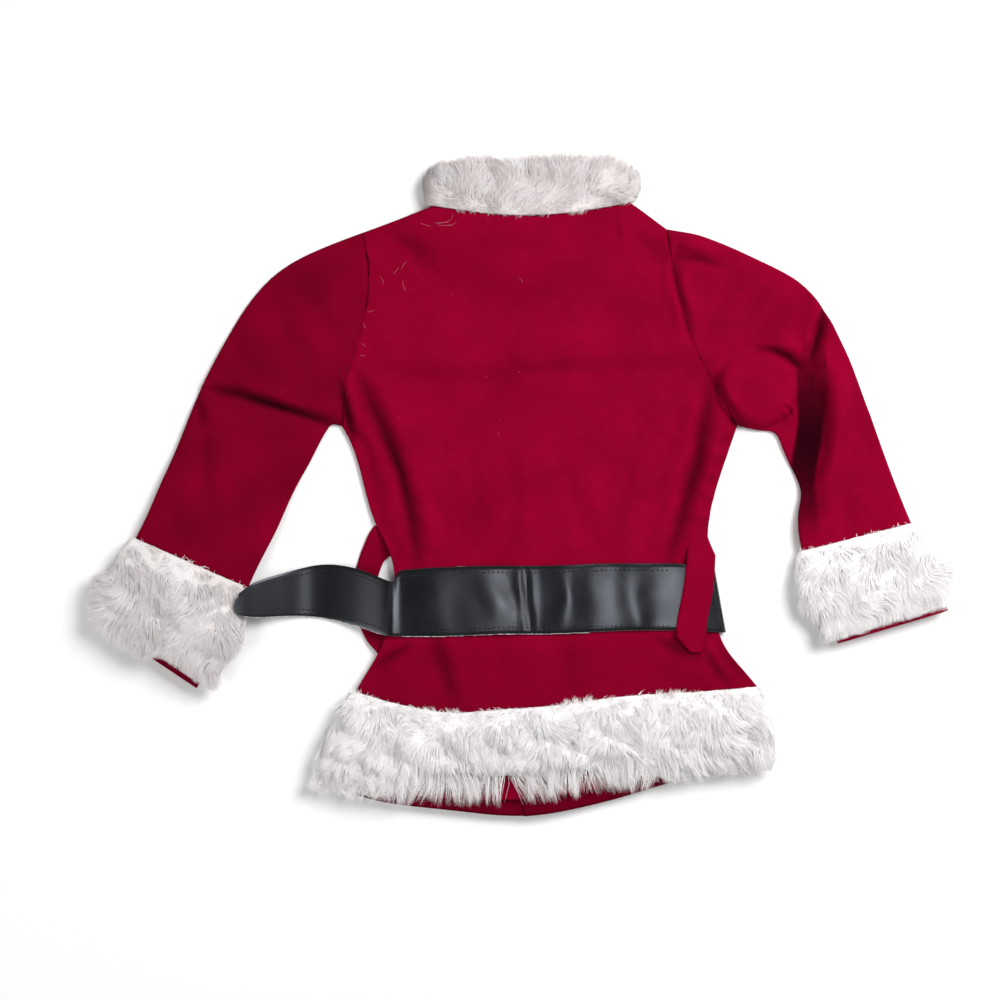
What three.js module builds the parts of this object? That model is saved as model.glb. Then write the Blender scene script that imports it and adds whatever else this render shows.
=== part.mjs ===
import * as THREE from 'three';

// A child's Santa jacket with its own belt, laid face down on a flat surface, so that its back shows.
// Millimetres. +X is to the wearer's right, +Y to the neck, +Z up from the surface.
// The fronts lie lowest, the back lies on them, and the belt runs over the back and under the fronts.

// ---------- Driving dimensions ----------

const CLOTH = 1.6;               // thickness of the velvet
const SEAM = 0.3;                // clearance between pieces that are sewn or lie together
const JOIN = 0.35;               // the same, across an edge in plan
const STRAP = 1.8;               // thickness of the belt
const LOOSE = 2.2;               // how far the back lies off the fronts, over the clearance
const MOST_LOOSE = 3.8;          // the layers are never further apart than this
const OVERLAP_EDGE = 24;         // x of the left front's edge, the outer one, nearest the surface
const UNDERLAP_EDGE = -1;        // x of the right front's edge, which lies on the left front
const FUR_UNDER = 8;             // depth of the fur that the garment lies on, pressed by its weight
const FUR_HEM = 13;              // depth of the hem's fur over the back
const FUR_CUFF = 12;             // depth of a cuff's fur over the sleeve
const FUR_COLLAR = 9;            // depth of the collar's fur over the back of the neck
const COLLAR_HEIGHT = 42;        // height of the collar band at the front
const COLLAR_TOP = 266;          // y of the band's top edge where it bends round at the sides
const COLLAR_GAP = 3;            // between the collar's ends at the centre front
const FRINGE = 8;                // how far the hem's fur reaches past the back's cloth
const FRINGE_DROP = 1.2;         // how much lower the fringe's end lies than the cloth's hem
const LOOP = 1.4;                // thickness of a belt loop

// Where the fronts' underside rises off the surface, and how far. Each pair is where a rise starts and
// where it is complete, or where it starts to fall and has fallen.
const OVER_FUR = { y: [-176, -140] };
const OVER_BELT = { lowY: [-152, -136], highY: [-55, -34] };
const OVER_BUCKLE = { rise: 3.4, x: [-42, -14] };               // more than over the strap
const OVER_COLLAR = { rise: 5, ring: [1, 2.2], y: [150, 190] };
const OVER_LAP = { leftX: [-18, -2], rightX: [34, 72] };        // leftX is from the right front's edge

// The two sides of the torso, as [x, y]: armhole from the shoulder tip to the armpit, side seam from
// there to the fur, and the side of the skirt under the fur.
const LEFT_SIDE = {
  armhole: [[-139, 217], [-132, 178], [-142, 125], [-155, 76], [-156, 52]],
  seam: [[-156, 52], [-147, 36], [-135, -8], [-129, -30], [-115, -54], [-110, -80], [-113, -110],
    [-123, -138], [-144, -173]],
  skirt: [[-144, -173], [-157, -205], [-165, -254]],
};
const RIGHT_SIDE = {
  armhole: [[121, 220], [128, 175], [142, 123], [166, 78], [181, 52]],
  seam: [[181, 52], [175, 34], [162, -5], [156, -34], [157, -70], [160, -98], [168, -134],
    [183, -152], [197, -169]],
  skirt: [[197, -169], [204, -204], [207, -235]],
};

// Lines across the torso, as [x, y] from left to right.
const NECK_SEAM = [[-78, 239], [-55, 236], [-21, 232], [21, 232], [55, 236], [89, 242]];
const FUR_SEAM = [[-144, -173], [-106, -184], [-64, -191], [-21, -188], [30, -184], [81, -177],
  [149, -173], [197, -169]];
const BACK_HEM = [[-165, -254], [-106, -262], [-47, -266], [13, -264], [81, -253], [149, -241],
  [207, -235]];
const FRONT_HEM = [[-165, -254], [-132, -266], [-64, -275], [0, -280], [64, -269], [140, -247],
  [207, -235]];
const NECK = { x: 5.5, y: 240.5, across: 83.5, drop: 50 };   // the front neckline is half an ellipse

// Columns and rows of cells in the panels.
const SHOULDER_COLUMNS = 4;
const NECK_COLUMNS = 12;
const ARMHOLE_ROWS = 6;
const SEAM_ROWS = 13;
const SKIRT_ROWS = 5;
const COLUMNS = 2 * SHOULDER_COLUMNS + NECK_COLUMNS;
const LAP_COLUMNS = 2;
const FUR_ROW = ARMHOLE_ROWS + SEAM_ROWS;

// Sections down each sleeve after the armhole, as [x, y]: the outer edge, over the shoulder and the
// elbow, and the inner edge, under the arm. The last row but one is the cuff's seam, the last the end.
const LEFT_SLEEVE = [
  { outer: [-174, 204], inner: [-165, 54] },
  { outer: [-210, 187], inner: [-173, 42] },
  { outer: [-238, 156], inner: [-181, 25] },
  { outer: [-258, 120], inner: [-190, 10] },
  { outer: [-274, 91], inner: [-198, -5] },
  { outer: [-287, 59], inner: [-205, -21] },
  { outer: [-299, 27], inner: [-212, -38] },
  { outer: [-311, 2], inner: [-221, -55] },
  { outer: [-321, -24], inner: [-229, -71] },
  { outer: [-331, -43], inner: [-235, -85] },
  { outer: [-358, -118], inner: [-279, -171] },
];
const RIGHT_SLEEVE = [
  { outer: [149, 216], inner: [197, 48] },
  { outer: [178, 204], inner: [210, 48] },
  { outer: [208, 190], inner: [216, 44] },
  { outer: [236, 176], inner: [219, 35] },
  { outer: [254, 155], inner: [223, 25] },
  { outer: [268, 129], inner: [228, 15] },
  { outer: [280, 104], inner: [233, 5] },
  { outer: [290, 74], inner: [236, -5] },
  { outer: [301, 42], inner: [233, -18] },
  { outer: [311, 12], inner: [231, -32] },
  { outer: [328, -30], inner: [235, -54] },
  { outer: [360, -105], inner: [266, -133] },
];
const SLEEVE_HEIGHT = 2 * CLOTH + LOOSE + SEAM;      // of a flattened sleeve, both layers
const CUFF_PLACES = [0, 0.12, 0.4, 0.7, 0.93, 1];    // sections from the cuff's seam to the sleeve's end
const CUFF_FULLNESS = [0.25, 0.8, 1, 1, 0.6];        // of the fur at those sections, short of the end
const CUFF_SIDES = { outer: 14, inner: 17 };         // how far the fur stands out past the sleeve's edges

// The rounded edge of a flattened sleeve: how far in each point is, and its share of the half height.
const EDGE = [
  { inset: 0, rise: 0, wallInset: CLOTH, wallRise: 0 },
  { inset: 1.2, rise: 0.62, wallInset: 2.3, wallRise: 0.55 },
  { inset: 3.6, rise: 0.95, wallInset: 4.2, wallRise: 0.95 },
];
const FUR_EDGE = [{ out: 1, up: 0 }, { out: 0.85, up: 0.6 }, { out: 0.45, up: 0.9 }];

// The hem fur's thickness by rows from its seam to the fringe, and the collar band's by height.
const HEM_FULLNESS = [0.3, 0.85, 1, 1, 0.9, 0.65, 0.3];
const COLLAR_LEVELS = [
  { up: 0, full: 0.5 },
  { up: 0.22, full: 0.95 },
  { up: 0.75, full: 1 },
  { up: 1, full: 0.45 },
];
const COLLAR_INSIDE = { low: 8, high: 10.8 };       // z of the band's inner faces, front and back
const COLLAR_BEND = [-60, -20, 20, 60];             // degrees round the band's side bends
const COLLAR_BACK = { atSides: 31, more: 16 };      // height over the neck seam, and more in the middle
const HEM_REACH = { left: 13, right: 7 };           // how far the hem's fur stands out past the sides

// The largest folds: each runs between two points, width is half its breadth, and rise is how far it
// stands over (+) or lies under (-) the cloth around it.
const FOLDS = [
  { from: [152, 70], to: [127, -64], width: 13, rise: -1.5 },       // right armpit to the belt
  { from: [-101, -12], to: [-88, -66], width: 10, rise: -1.2 },     // left of the waist
  { from: [-76, -138], to: [-64, -166], width: 10, rise: -1.0 },    // left of the skirt
  { from: [30, -135], to: [40, -170], width: 18, rise: 0.9 },       // middle of the skirt
  { from: [-90, 168], to: [90, 160], width: 16, rise: -0.8 },       // across the shoulder blades
  { from: [-262, 80], to: [-160, 52], width: 9, rise: -1.3 },       // left elbow
  { from: [-258, 97], to: [-170, 70], width: 12, rise: 1.1 },       // over the left elbow
  { from: [247, 92], to: [244, 8], width: 9, rise: -1.3 },          // right elbow
  { from: [196, 118], to: [229, 100], width: 9, rise: 1.1 },        // bulge over the right elbow
  { from: [229, 100], to: [224, 56], width: 9, rise: 1.1 },         // and down its edge
];

// The belt, lying across the back from the tip of its tongue: the upper and the lower edge's y at x.
// z is the middle of the strap where it lies off the back, and is left out where it lies on it.
const BELT_BACK = [
  { x: -246, upper: -101, lower: -106, z: 21.4 },
  { x: -242, upper: -90, lower: -109, z: 20.6 },
  { x: -230, upper: -80, lower: -111, z: 17.6 },
  { x: -208, upper: -74, lower: -110, z: 7.2 },
  { x: -190, upper: -69, lower: -110, z: 2.6 },
  { x: -176, upper: -66, lower: -111, z: 1.5 },
  { x: -160, upper: -66, lower: -114, z: 2.6 },
  { x: -144, upper: -69, lower: -118, z: 5.2 },
  { x: -130, upper: -74, lower: -123, z: 9.0 },
  { x: -119, upper: -79, lower: -126, z: 12.0 },
  { x: -112, upper: -81, lower: -127, z: 12.6 },
  { x: -107, upper: -71, lower: -127 },
  { x: -88, upper: -69, lower: -127 },
  { x: -66, upper: -68, lower: -127 },
  { x: -44, upper: -67, lower: -126 },
  { x: -22, upper: -67, lower: -125 },
  { x: 0, upper: -67, lower: -125 },
  { x: 22, upper: -67, lower: -125 },
  { x: 44, upper: -66, lower: -124 },
  { x: 66, upper: -65, lower: -123 },
  { x: 88, upper: -65, lower: -122 },
  { x: 110, upper: -65, lower: -122 },
  { x: 130, upper: -65, lower: -122 },
  { x: 144, upper: -66, lower: -122 },
];
// Round the right side and back under the fronts the strap keeps these two edges.
const BELT_UNDER = { upper: -67, lower: -124 };
const BELT_SIDE = { upper: 157.5, lower: 167.5 };    // x of the bend's centre at each edge
const BEND_STEPS = 6;
const BEND_TOP = 7.4;                                // z of the strap's middle as it enters the bend
const UNDER_ROWS = [130, 90, 50, 10, -26];           // x of the strap's sections under the fronts
const TAIL_TURN = [90, 45, 0, -45, -90];             // degrees round the fold at the buckle's bar
const TAIL_CLEARANCE = 0.7;                          // between the bar and the fold round it

// The buckle lies under the left front: a plain frame with a bar that the strap's end is folded round.
const BUCKLE = {
  x: -76, y: -95.5, width: 52, height: 76, border: 7, thick: 3, bar: 4, barLow: 2, barHigh: 3.1,
};
const STRAP_OVER_BUCKLE = 4.3;   // middle of the strap where it passes over the frame and the bar
const STRAP_TAIL = 11;           // length of the end folded under the bar

// The hollow that the tongue's tip presses into the left cuff's fur.
const DENT = { at: [-238, -98], radius: 20, depth: 7 };

// The belt loops: the left and the right edge's x at y. The right one passes over the belt.
const LEFT_LOOP = [
  { y: -33, left: -131, right: -129.8, z: 2.4 },
  { y: -45, left: -135.5, right: -122.6, z: 1.6 },
  { y: -55, left: -140, right: -116.6, z: 1.2 },
  { y: -66, left: -143.5, right: -122, z: 0.7 },
  { y: -80, left: -145.5, right: -127, z: 0.7 },
  { y: -98, left: -146, right: -128, z: 0.7 },
  { y: -114, left: -143, right: -126, z: 0.7 },
  { y: -127, left: -138, right: -121.5, z: 1.5 },
  { y: -137, left: -131, right: -124.8, z: 3.2 },
  { y: -143, left: -128.5, right: -127.6, z: 4.2 },
];
const RIGHT_LOOP = [
  { y: -33, left: 140, right: 153, overBelt: false },
  { y: -47, left: 139, right: 157, overBelt: false },
  { y: -58, left: 138, right: 162, overBelt: true },
  { y: -79, left: 136, right: 161, overBelt: true },
  { y: -96, left: 133, right: 159, overBelt: true },
  { y: -113, left: 129, right: 155, overBelt: true },
  { y: -127, left: 128, right: 154, overBelt: true },
  { y: -134, left: 135, right: 152, overBelt: false },
  { y: -141, left: 141, right: 151, overBelt: false },
];

// ---------- Points, curves and grids ----------

const point = (x, y, z = 0) => new THREE.Vector3(x, y, z);

function ramp(value, from, to) {
  return THREE.MathUtils.smoothstep(value, from, to);
}

// Evenly spaced points along a smooth curve through the given ones.
function alongCurve(pairs, steps) {
  const through = pairs.map(([x, y]) => point(x, y));
  return new THREE.CatmullRomCurve3(through, false, 'centripetal').getSpacedPoints(steps);
}

function alongLine(from, to, steps) {
  return Array.from({ length: steps + 1 }, (_, k) => from.clone().lerp(to, k / steps));
}

// The stretch of a curve between two values of x, evenly spaced in x.
function stretch(pairs, fromX, toX, steps) {
  const fine = alongCurve(pairs, 400);
  return Array.from({ length: steps + 1 }, (_, k) => {
    const x = THREE.MathUtils.lerp(fromX, toX, k / steps);
    const after = fine.findIndex((p) => p.x >= x);
    const next = after < 0 ? fine.length - 1 : Math.max(1, after);
    const [a, b] = [fine[next - 1], fine[next]];
    return point(x, THREE.MathUtils.mapLinear(x, a.x, b.x, a.y, b.y));
  });
}

// Joins point lists end to end, without the repeated end points.
function chain(first, ...others) {
  return others.reduce((all, list) => all.concat(list.slice(1)), first);
}

// Fills the space between four edges with a grid of points, as rows from the top edge down. The rows
// run straight between the sides' points, and each side's own curve dies away towards the other side.
function fill(top, bottom, left, right) {
  const shareDown = (side, i) => (side[0].y - side[i].y) / (side[0].y - side.at(-1).y);
  return left.map((leftPoint, i) => {
    const v = (shareDown(left, i) + shareDown(right, i)) / 2;
    const leftBulge = leftPoint.clone().sub(left[0].clone().lerp(left.at(-1), v));
    const rightBulge = right[i].clone().sub(right[0].clone().lerp(right.at(-1), v));
    return top.map((topPoint, j) => {
      const u = j / (top.length - 1);
      const straight = topPoint.clone().lerp(bottom[j], v);
      return straight.addScaledVector(leftBulge, (1 - u) ** 2).addScaledVector(rightBulge, u ** 2);
    });
  });
}

// Height of a grid's surface over a point in plan, or -Infinity beside it.
function heightOver(grid, x, y) {
  let best = -Infinity;
  const test = (a, b, c) => {
    const area = (b.x - a.x) * (c.y - a.y) - (c.x - a.x) * (b.y - a.y);
    const s = ((x - a.x) * (c.y - a.y) - (c.x - a.x) * (y - a.y)) / area;
    const t = ((b.x - a.x) * (y - a.y) - (x - a.x) * (b.y - a.y)) / area;
    if (s >= -1e-6 && t >= -1e-6 && s + t <= 1 + 1e-6) {
      best = Math.max(best, a.z + s * (b.z - a.z) + t * (c.z - a.z));
    }
  };
  for (let i = 0; i + 1 < grid.length; i += 1) {
    for (let j = 0; j + 1 < grid[i].length; j += 1) {
      test(grid[i][j], grid[i][j + 1], grid[i + 1][j + 1]);
      test(grid[i][j], grid[i + 1][j + 1], grid[i + 1][j]);
    }
  }
  return best;
}

// A closed wall between two grids of the same size. A ring's last column joins its first.
function wall(outer, inner, isRing = false) {
  const rows = outer.length;
  const columns = outer[0].length;
  const positions = [outer, inner].flat(2).flatMap((p) => [p.x, p.y, p.z]);
  const index = (side, i, j) => side * rows * columns + i * columns + (j % columns);
  const triangles = [];
  const quad = (a, b, c, d) => triangles.push(a, b, c, a, c, d);
  const cells = isRing ? columns : columns - 1;
  for (let j = 0; j < cells; j += 1) {
    for (let i = 0; i + 1 < rows; i += 1) {
      quad(index(0, i, j), index(0, i + 1, j), index(0, i + 1, j + 1), index(0, i, j + 1));
      quad(index(1, i, j), index(1, i, j + 1), index(1, i + 1, j + 1), index(1, i + 1, j));
    }
    quad(index(0, 0, j), index(0, 0, j + 1), index(1, 0, j + 1), index(1, 0, j));
    const last = rows - 1;
    quad(index(0, last, j), index(1, last, j), index(1, last, j + 1), index(0, last, j + 1));
  }
  for (let i = 0; !isRing && i + 1 < rows; i += 1) {
    const last = columns - 1;
    quad(index(0, i, 0), index(1, i, 0), index(1, i + 1, 0), index(0, i + 1, 0));
    quad(index(0, i, last), index(0, i + 1, last), index(1, i + 1, last), index(1, i, last));
  }
  return closedGeometry(positions, triangles);
}

// Six times the volume inside the triangles, negative where they face inwards.
function signedVolume(positions, triangles) {
  const corner = (k) => new THREE.Vector3().fromArray(positions, 3 * triangles[k]);
  let sum = 0;
  for (let k = 0; k < triangles.length; k += 3) {
    sum += corner(k).dot(corner(k + 1).cross(corner(k + 2)));
  }
  return sum;
}

function closedGeometry(positions, triangles) {
  if (signedVolume(positions, triangles) < 0) {
    triangles.reverse();
  }
  const geometry = new THREE.BufferGeometry();
  geometry.setAttribute('position', new THREE.Float32BufferAttribute(positions, 3));
  geometry.setIndex(triangles);
  geometry.computeVertexNormals();
  return geometry;
}

// A grid moved up, each point by its own amount.
function raised(grid, rise) {
  return grid.map((row, i) => row.map((p, j) => point(p.x, p.y, p.z + rise(p, i, j))));
}

// The two faces of a strap of even thickness, to either side of its middle grid.
function strapFaces(middle, thickness) {
  const at = (i, j) => middle[THREE.MathUtils.clamp(i, 0, middle.length - 1)][j];
  const last = middle[0].length - 1;
  const shifted = (side) => middle.map((row, i) => row.map((p, j) => {
    const along = at(i + 1, j).clone().sub(at(i - 1, j));
    const across = row[Math.min(j + 1, last)].clone().sub(row[Math.max(j - 1, 0)]);
    return p.clone().addScaledVector(along.cross(across).normalize(), side * thickness / 2);
  }));
  return [shifted(1), shifted(-1)];
}

// ---------- Materials ----------

const velvet = { color: 0x98012c, roughness: 0.9, metalness: 0 };
const fur = { color: 0xe9e4e5, roughness: 1, metalness: 0 };
const leather = { color: 0x2b2c33, roughness: 0.45, metalness: 0 };
const metal = { color: 0xb89a4e, roughness: 0.35, metalness: 1 };

const garment = new THREE.Group();

function addPiece(name, geometry, finish) {
  const mesh = new THREE.Mesh(geometry, new THREE.MeshStandardMaterial(finish));
  mesh.name = name;
  garment.add(mesh);
}

// ---------- Heights ----------

// How far a point is from the middle of the neck: 1 on the front neckline, more outside it.
function neckRing(x, y) {
  return ((x - NECK.x) / NECK.across) ** 2 + ((y - NECK.y) / NECK.drop) ** 2;
}

// The underside of the fronts: flat on the surface, and raised over the fur, the belt, the buckle and
// the collar.
function frontLift(x, y) {
  const overFur = (FUR_UNDER + SEAM) * (1 - ramp(y, ...OVER_FUR.y));
  const beltBand = ramp(y, ...OVER_BELT.lowY) * (1 - ramp(y, ...OVER_BELT.highY));
  const overBuckle = OVER_BUCKLE.rise * (1 - ramp(x, ...OVER_BUCKLE.x));
  const atNeck = (1 - ramp(neckRing(x, y), ...OVER_COLLAR.ring)) * ramp(y, ...OVER_COLLAR.y);
  return Math.max(overFur, beltBand * (STRAP + SEAM + overBuckle), OVER_COLLAR.rise * atNeck);
}

// The extra height of the right front where it lies on the left one, by columns from its edge.
function lapRise(column) {
  return (CLOTH + SEAM) * (1 - ramp(column, LAP_COLUMNS, LAP_COLUMNS + 2));
}

// The same as a smooth height in plan, for what lies on the lap.
function overLap(x) {
  const fromLeft = ramp(x - UNDERLAP_EDGE, ...OVER_LAP.leftX);
  return (CLOTH + SEAM) * fromLeft * (1 - ramp(x, ...OVER_LAP.rightX));
}

// The upper side of what the back lies on: the fronts, and the front of the collar at the neck.
function underBack(x, y) {
  const fronts = frontLift(x, y) + CLOTH + overLap(x);
  const collar = FUR_UNDER + 0.5 + 1.8 * ramp(y, 205, 235);
  const neck = (1 - ramp(neckRing(x, y), 1.05, 1.9)) * ramp(y, 150, 185);
  return Math.max(fronts, THREE.MathUtils.lerp(fronts, collar, neck));
}

function foldRise(x, y) {
  return FOLDS.reduce((sum, fold) => {
    const from = point(...fold.from);
    const line = new THREE.Line3(from, point(...fold.to));
    const nearest = line.closestPointToPoint(point(x, y), true, new THREE.Vector3());
    const distance = nearest.distanceTo(point(x, y));
    return sum + fold.rise * Math.exp(-((distance / fold.width) ** 2));
  }, 0);
}

// ---------- Torso ----------

const leftArmhole = alongCurve(LEFT_SIDE.armhole, ARMHOLE_ROWS);
const rightArmhole = alongCurve(RIGHT_SIDE.armhole, ARMHOLE_ROWS);
const leftEdge = chain(leftArmhole, alongCurve(LEFT_SIDE.seam, SEAM_ROWS));
const rightEdge = chain(rightArmhole, alongCurve(RIGHT_SIDE.seam, SEAM_ROWS));
const leftSkirt = alongCurve(LEFT_SIDE.skirt, SKIRT_ROWS);
const rightSkirt = alongCurve(RIGHT_SIDE.skirt, SKIRT_ROWS);
const leftShoulder = alongLine(point(...LEFT_SIDE.armhole[0]), point(...NECK_SEAM[0]), SHOULDER_COLUMNS);
const rightShoulder = alongLine(
  point(...NECK_SEAM.at(-1)),
  point(...RIGHT_SIDE.armhole[0]),
  SHOULDER_COLUMNS,
);

// A panel's plan, from its top edge to the fur's seam and on to its hem.
function panelPlan(top, furSeam, hem, left, right) {
  const upper = fill(top, furSeam, left.slice(0, FUR_ROW + 1), right.slice(0, FUR_ROW + 1));
  const skirt = fill(furSeam, hem, left.slice(FUR_ROW), right.slice(FUR_ROW));
  return upper.concat(skirt.slice(1));
}

function backPanel() {
  const top = chain(leftShoulder, alongCurve(NECK_SEAM, NECK_COLUMNS), rightShoulder);
  const plan = panelPlan(
    top,
    alongCurve(FUR_SEAM, COLUMNS),
    alongCurve(BACK_HEM, COLUMNS),
    chain(leftEdge, leftSkirt),
    chain(rightEdge, rightSkirt),
  );
  // The back is sewn down along its shoulders and its sides, and open at the armholes.
  const gap = (p, i, j) => {
    const inward = ramp(Math.min(j, COLUMNS - j), 0, 3);
    const atArmhole = i < ARMHOLE_ROWS ? 1 : 0;
    const belowShoulder = i === 0 ? 0 : ramp(i, -0.6, 1.2);
    const open = Math.max(inward, atArmhole) * belowShoulder;
    const folded = foldRise(p.x, p.y) * inward * belowShoulder;
    return THREE.MathUtils.clamp(SEAM + LOOSE * open + folded, SEAM, MOST_LOOSE);
  };
  const underside = raised(plan, (p, i, j) => underBack(p.x, p.y) + gap(p, i, j));
  const upside = raised(underside, () => CLOTH);
  addPiece('back_panel', wall(upside, underside), velvet);
  return { upside, underside };
}

// Points on the front neckline, an arc of an ellipse, evenly spaced in angle between two values of x.
function neckArc(fromX, toX, steps) {
  const angle = (x) => Math.acos(THREE.MathUtils.clamp((x - NECK.x) / NECK.across, -1, 1));
  return Array.from({ length: steps + 1 }, (_, k) => {
    const turn = THREE.MathUtils.lerp(angle(fromX), angle(toX), k / steps);
    return point(NECK.x + NECK.across * Math.cos(turn), NECK.y - NECK.drop * Math.sin(turn));
  });
}

// Both fronts are cut from one plan, so that they lie evenly on each other where they lap.
function frontPanels() {
  const side = (COLUMNS - LAP_COLUMNS) / 2;
  const threeParts = (line) => chain(
    line(-1, side),
    line(0, LAP_COLUMNS),
    line(1, side),
  );
  const across = (pairs) => threeParts((part, steps) => {
    const from = [pairs[0][0], UNDERLAP_EDGE, OVERLAP_EDGE][part + 1];
    const to = [UNDERLAP_EDGE, OVERLAP_EDGE, pairs.at(-1)[0]][part + 1];
    return stretch(pairs, from, to, steps);
  });
  const neckSteps = side - SHOULDER_COLUMNS;
  const neckline = chain(
    neckArc(NECK_SEAM[0][0], UNDERLAP_EDGE, neckSteps),
    neckArc(UNDERLAP_EDGE, OVERLAP_EDGE, LAP_COLUMNS),
    neckArc(OVERLAP_EDGE, NECK_SEAM.at(-1)[0], neckSteps),
  );
  neckline[0].copy(leftShoulder.at(-1));
  neckline.at(-1).copy(rightShoulder[0]);
  const plan = panelPlan(
    chain(leftShoulder, neckline, rightShoulder),
    across(FUR_SEAM),
    across(FRONT_HEM),
    chain(leftEdge, leftSkirt),
    chain(rightEdge, rightSkirt),
  );
  const lapStart = side;
  const lapEnd = side + LAP_COLUMNS;
  const left = raised(plan.map((row) => row.slice(0, lapEnd + 1)), (p) => frontLift(p.x, p.y));
  const right = raised(plan.map((row) => row.slice(lapStart)), (p, i, j) => (
    frontLift(p.x, p.y) + lapRise(j)
  ));
  addPiece('front_left_panel', wall(raised(left, () => CLOTH), left), velvet);
  addPiece('front_right_panel', wall(raised(right, () => CLOTH), right), velvet);
  return { left, right, neckline };
}

// ---------- Sleeves and cuffs ----------

// The point at a share of the way along a chain of points, by count of its steps.
function onChain(points, share) {
  const place = share * (points.length - 1);
  const k = Math.min(Math.floor(place), points.length - 2);
  return points[k].clone().lerp(points[k + 1], place - k);
}

// Shares across a sleeve at which its sections have points, from the outer to the inner edge.
function acrossShares(width, insets) {
  const near = insets.map((inset) => inset / width);
  const middle = Array.from({ length: ARMHOLE_ROWS - 1 }, (_, k) => (k + 1) / ARMHOLE_ROWS);
  return [...near, ...middle, ...near.map((share) => 1 - share).reverse()];
}

// One closed section of a flattened sleeve: its outer face, its inner face and where its fur stands.
function sleeveSection(place, lift) {
  const halfHeight = SLEEVE_HEIGHT / 2;
  const middle = lift + halfHeight;
  const half = EDGE.length;
  const count = 2 * half + ARMHOLE_ROWS - 1;
  const edgeOf = (k) => Math.min(k, count - 1 - k);
  const width = place(0).distanceTo(place(1));
  const outward = place(1).sub(place(0)).normalize();
  const outerShares = acrossShares(width, EDGE.map((e) => e.inset));
  const innerShares = acrossShares(width, EDGE.map((e) => e.wallInset));
  const layers = [];
  for (let k = 0; k < count; k += 1) {
    layers.push({ k, side: 1 });
  }
  for (let k = count - 2; k > 0; k -= 1) {
    layers.push({ k, side: -1 });
  }
  return layers.map(({ k, side }) => {
    const edge = edgeOf(k);
    const inEdge = edge < half;
    const [rise, wallRise] = inEdge ? [EDGE[edge].rise, EDGE[edge].wallRise] : [1, 1];
    const fold = side > 0 && !inEdge;
    const at = (share, height) => {
      const p = place(share);
      p.z = middle + side * height + (fold ? foldRise(p.x, p.y) : 0);
      return p;
    };
    const furEdge = inEdge ? FUR_EDGE[edge] : { out: 0, up: 1 };
    const isOuterEdge = k < count / 2;
    return {
      outer: at(outerShares[k], rise * halfHeight),
      inner: at(innerShares[k], wallRise * (halfHeight - CLOTH)),
      fur: { side, up: furEdge.up, out: furEdge.out, isOuterEdge, outward },
    };
  });
}

// A point of a sleeve's face moved out: by the given amounts past its edges, over it and under it.
function movedOut({ outer, fur: way }, sides, over, under) {
  const toEdge = way.isOuterEdge ? -sides.outer : sides.inner;
  const moved = outer.clone().addScaledVector(way.outward, way.out * toEdge);
  moved.z += way.side * way.up * (way.side > 0 ? over : under);
  const fromDent = Math.hypot(moved.x - DENT.at[0], moved.y - DENT.at[1]) / DENT.radius;
  if (way.side > 0 && way.up > 0 && over > SEAM) {
    moved.z -= Math.min(DENT.depth, way.up * over - SEAM) * Math.exp(-(fromDent ** 2));
  }
  return moved;
}

// A sleeve and its cuff. The sleeve's first section follows the armhole, just clear of the torso.
function sleeve(side, table, armhole, towards) {
  const start = armhole.map((p) => point(p.x + towards * JOIN, p.y));
  const rows = table.map((row) => [point(...row.outer), point(...row.inner)]);
  const seamRow = rows.length - 2;
  const bowRows = 3;
  const straight = (outer, inner, share) => outer.clone().lerp(inner, share);
  const bow = (share) => onChain(start, share).sub(straight(start[0], start.at(-1), share));

  const sections = [sleeveSection((share) => onChain(start, share), 0)];
  rows.slice(0, seamRow).forEach(([outer, inner], k) => {
    const kept = Math.max(0, 1 - (k + 1) / bowRows);
    const place = (share) => straight(outer, inner, share).addScaledVector(bow(share), kept);
    const lift = (FUR_UNDER + SEAM) * ramp(k, seamRow - 5, seamRow);
    sections.push(sleeveSection(place, lift));
  });
  const [seamOuter, seamInner] = rows[seamRow];
  const [endOuter, endInner] = rows[seamRow + 1];
  const cuffSections = CUFF_PLACES.map((share) => {
    const outer = straight(seamOuter, endOuter, share);
    const inner = straight(seamInner, endInner, share);
    return sleeveSection((across) => straight(outer, inner, across), FUR_UNDER + SEAM);
  });
  sections.push(...cuffSections);
  const face = (which) => sections.map((section) => section.map((p) => p[which]));
  addPiece(`sleeve_${side}`, wall(face('outer'), face('inner'), true), velvet);

  const clear = { outer: SEAM, inner: SEAM };
  const furred = cuffSections.slice(0, CUFF_FULLNESS.length);
  const lining = furred.map((section) => section.map((p) => movedOut(p, clear, SEAM, SEAM)));
  const pile = furred.map((section, k) => {
    const full = CUFF_FULLNESS[k];
    const sides = { outer: SEAM + CUFF_SIDES.outer * full, inner: SEAM + CUFF_SIDES.inner * full };
    return section.map((p) => movedOut(p, sides, SEAM + FUR_CUFF * full, SEAM + FUR_UNDER * full));
  });
  addPiece(`cuff_fur_${side}`, wall(pile, lining, true), fur);
}

// ---------- Fur on the hem and the collar ----------

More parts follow.
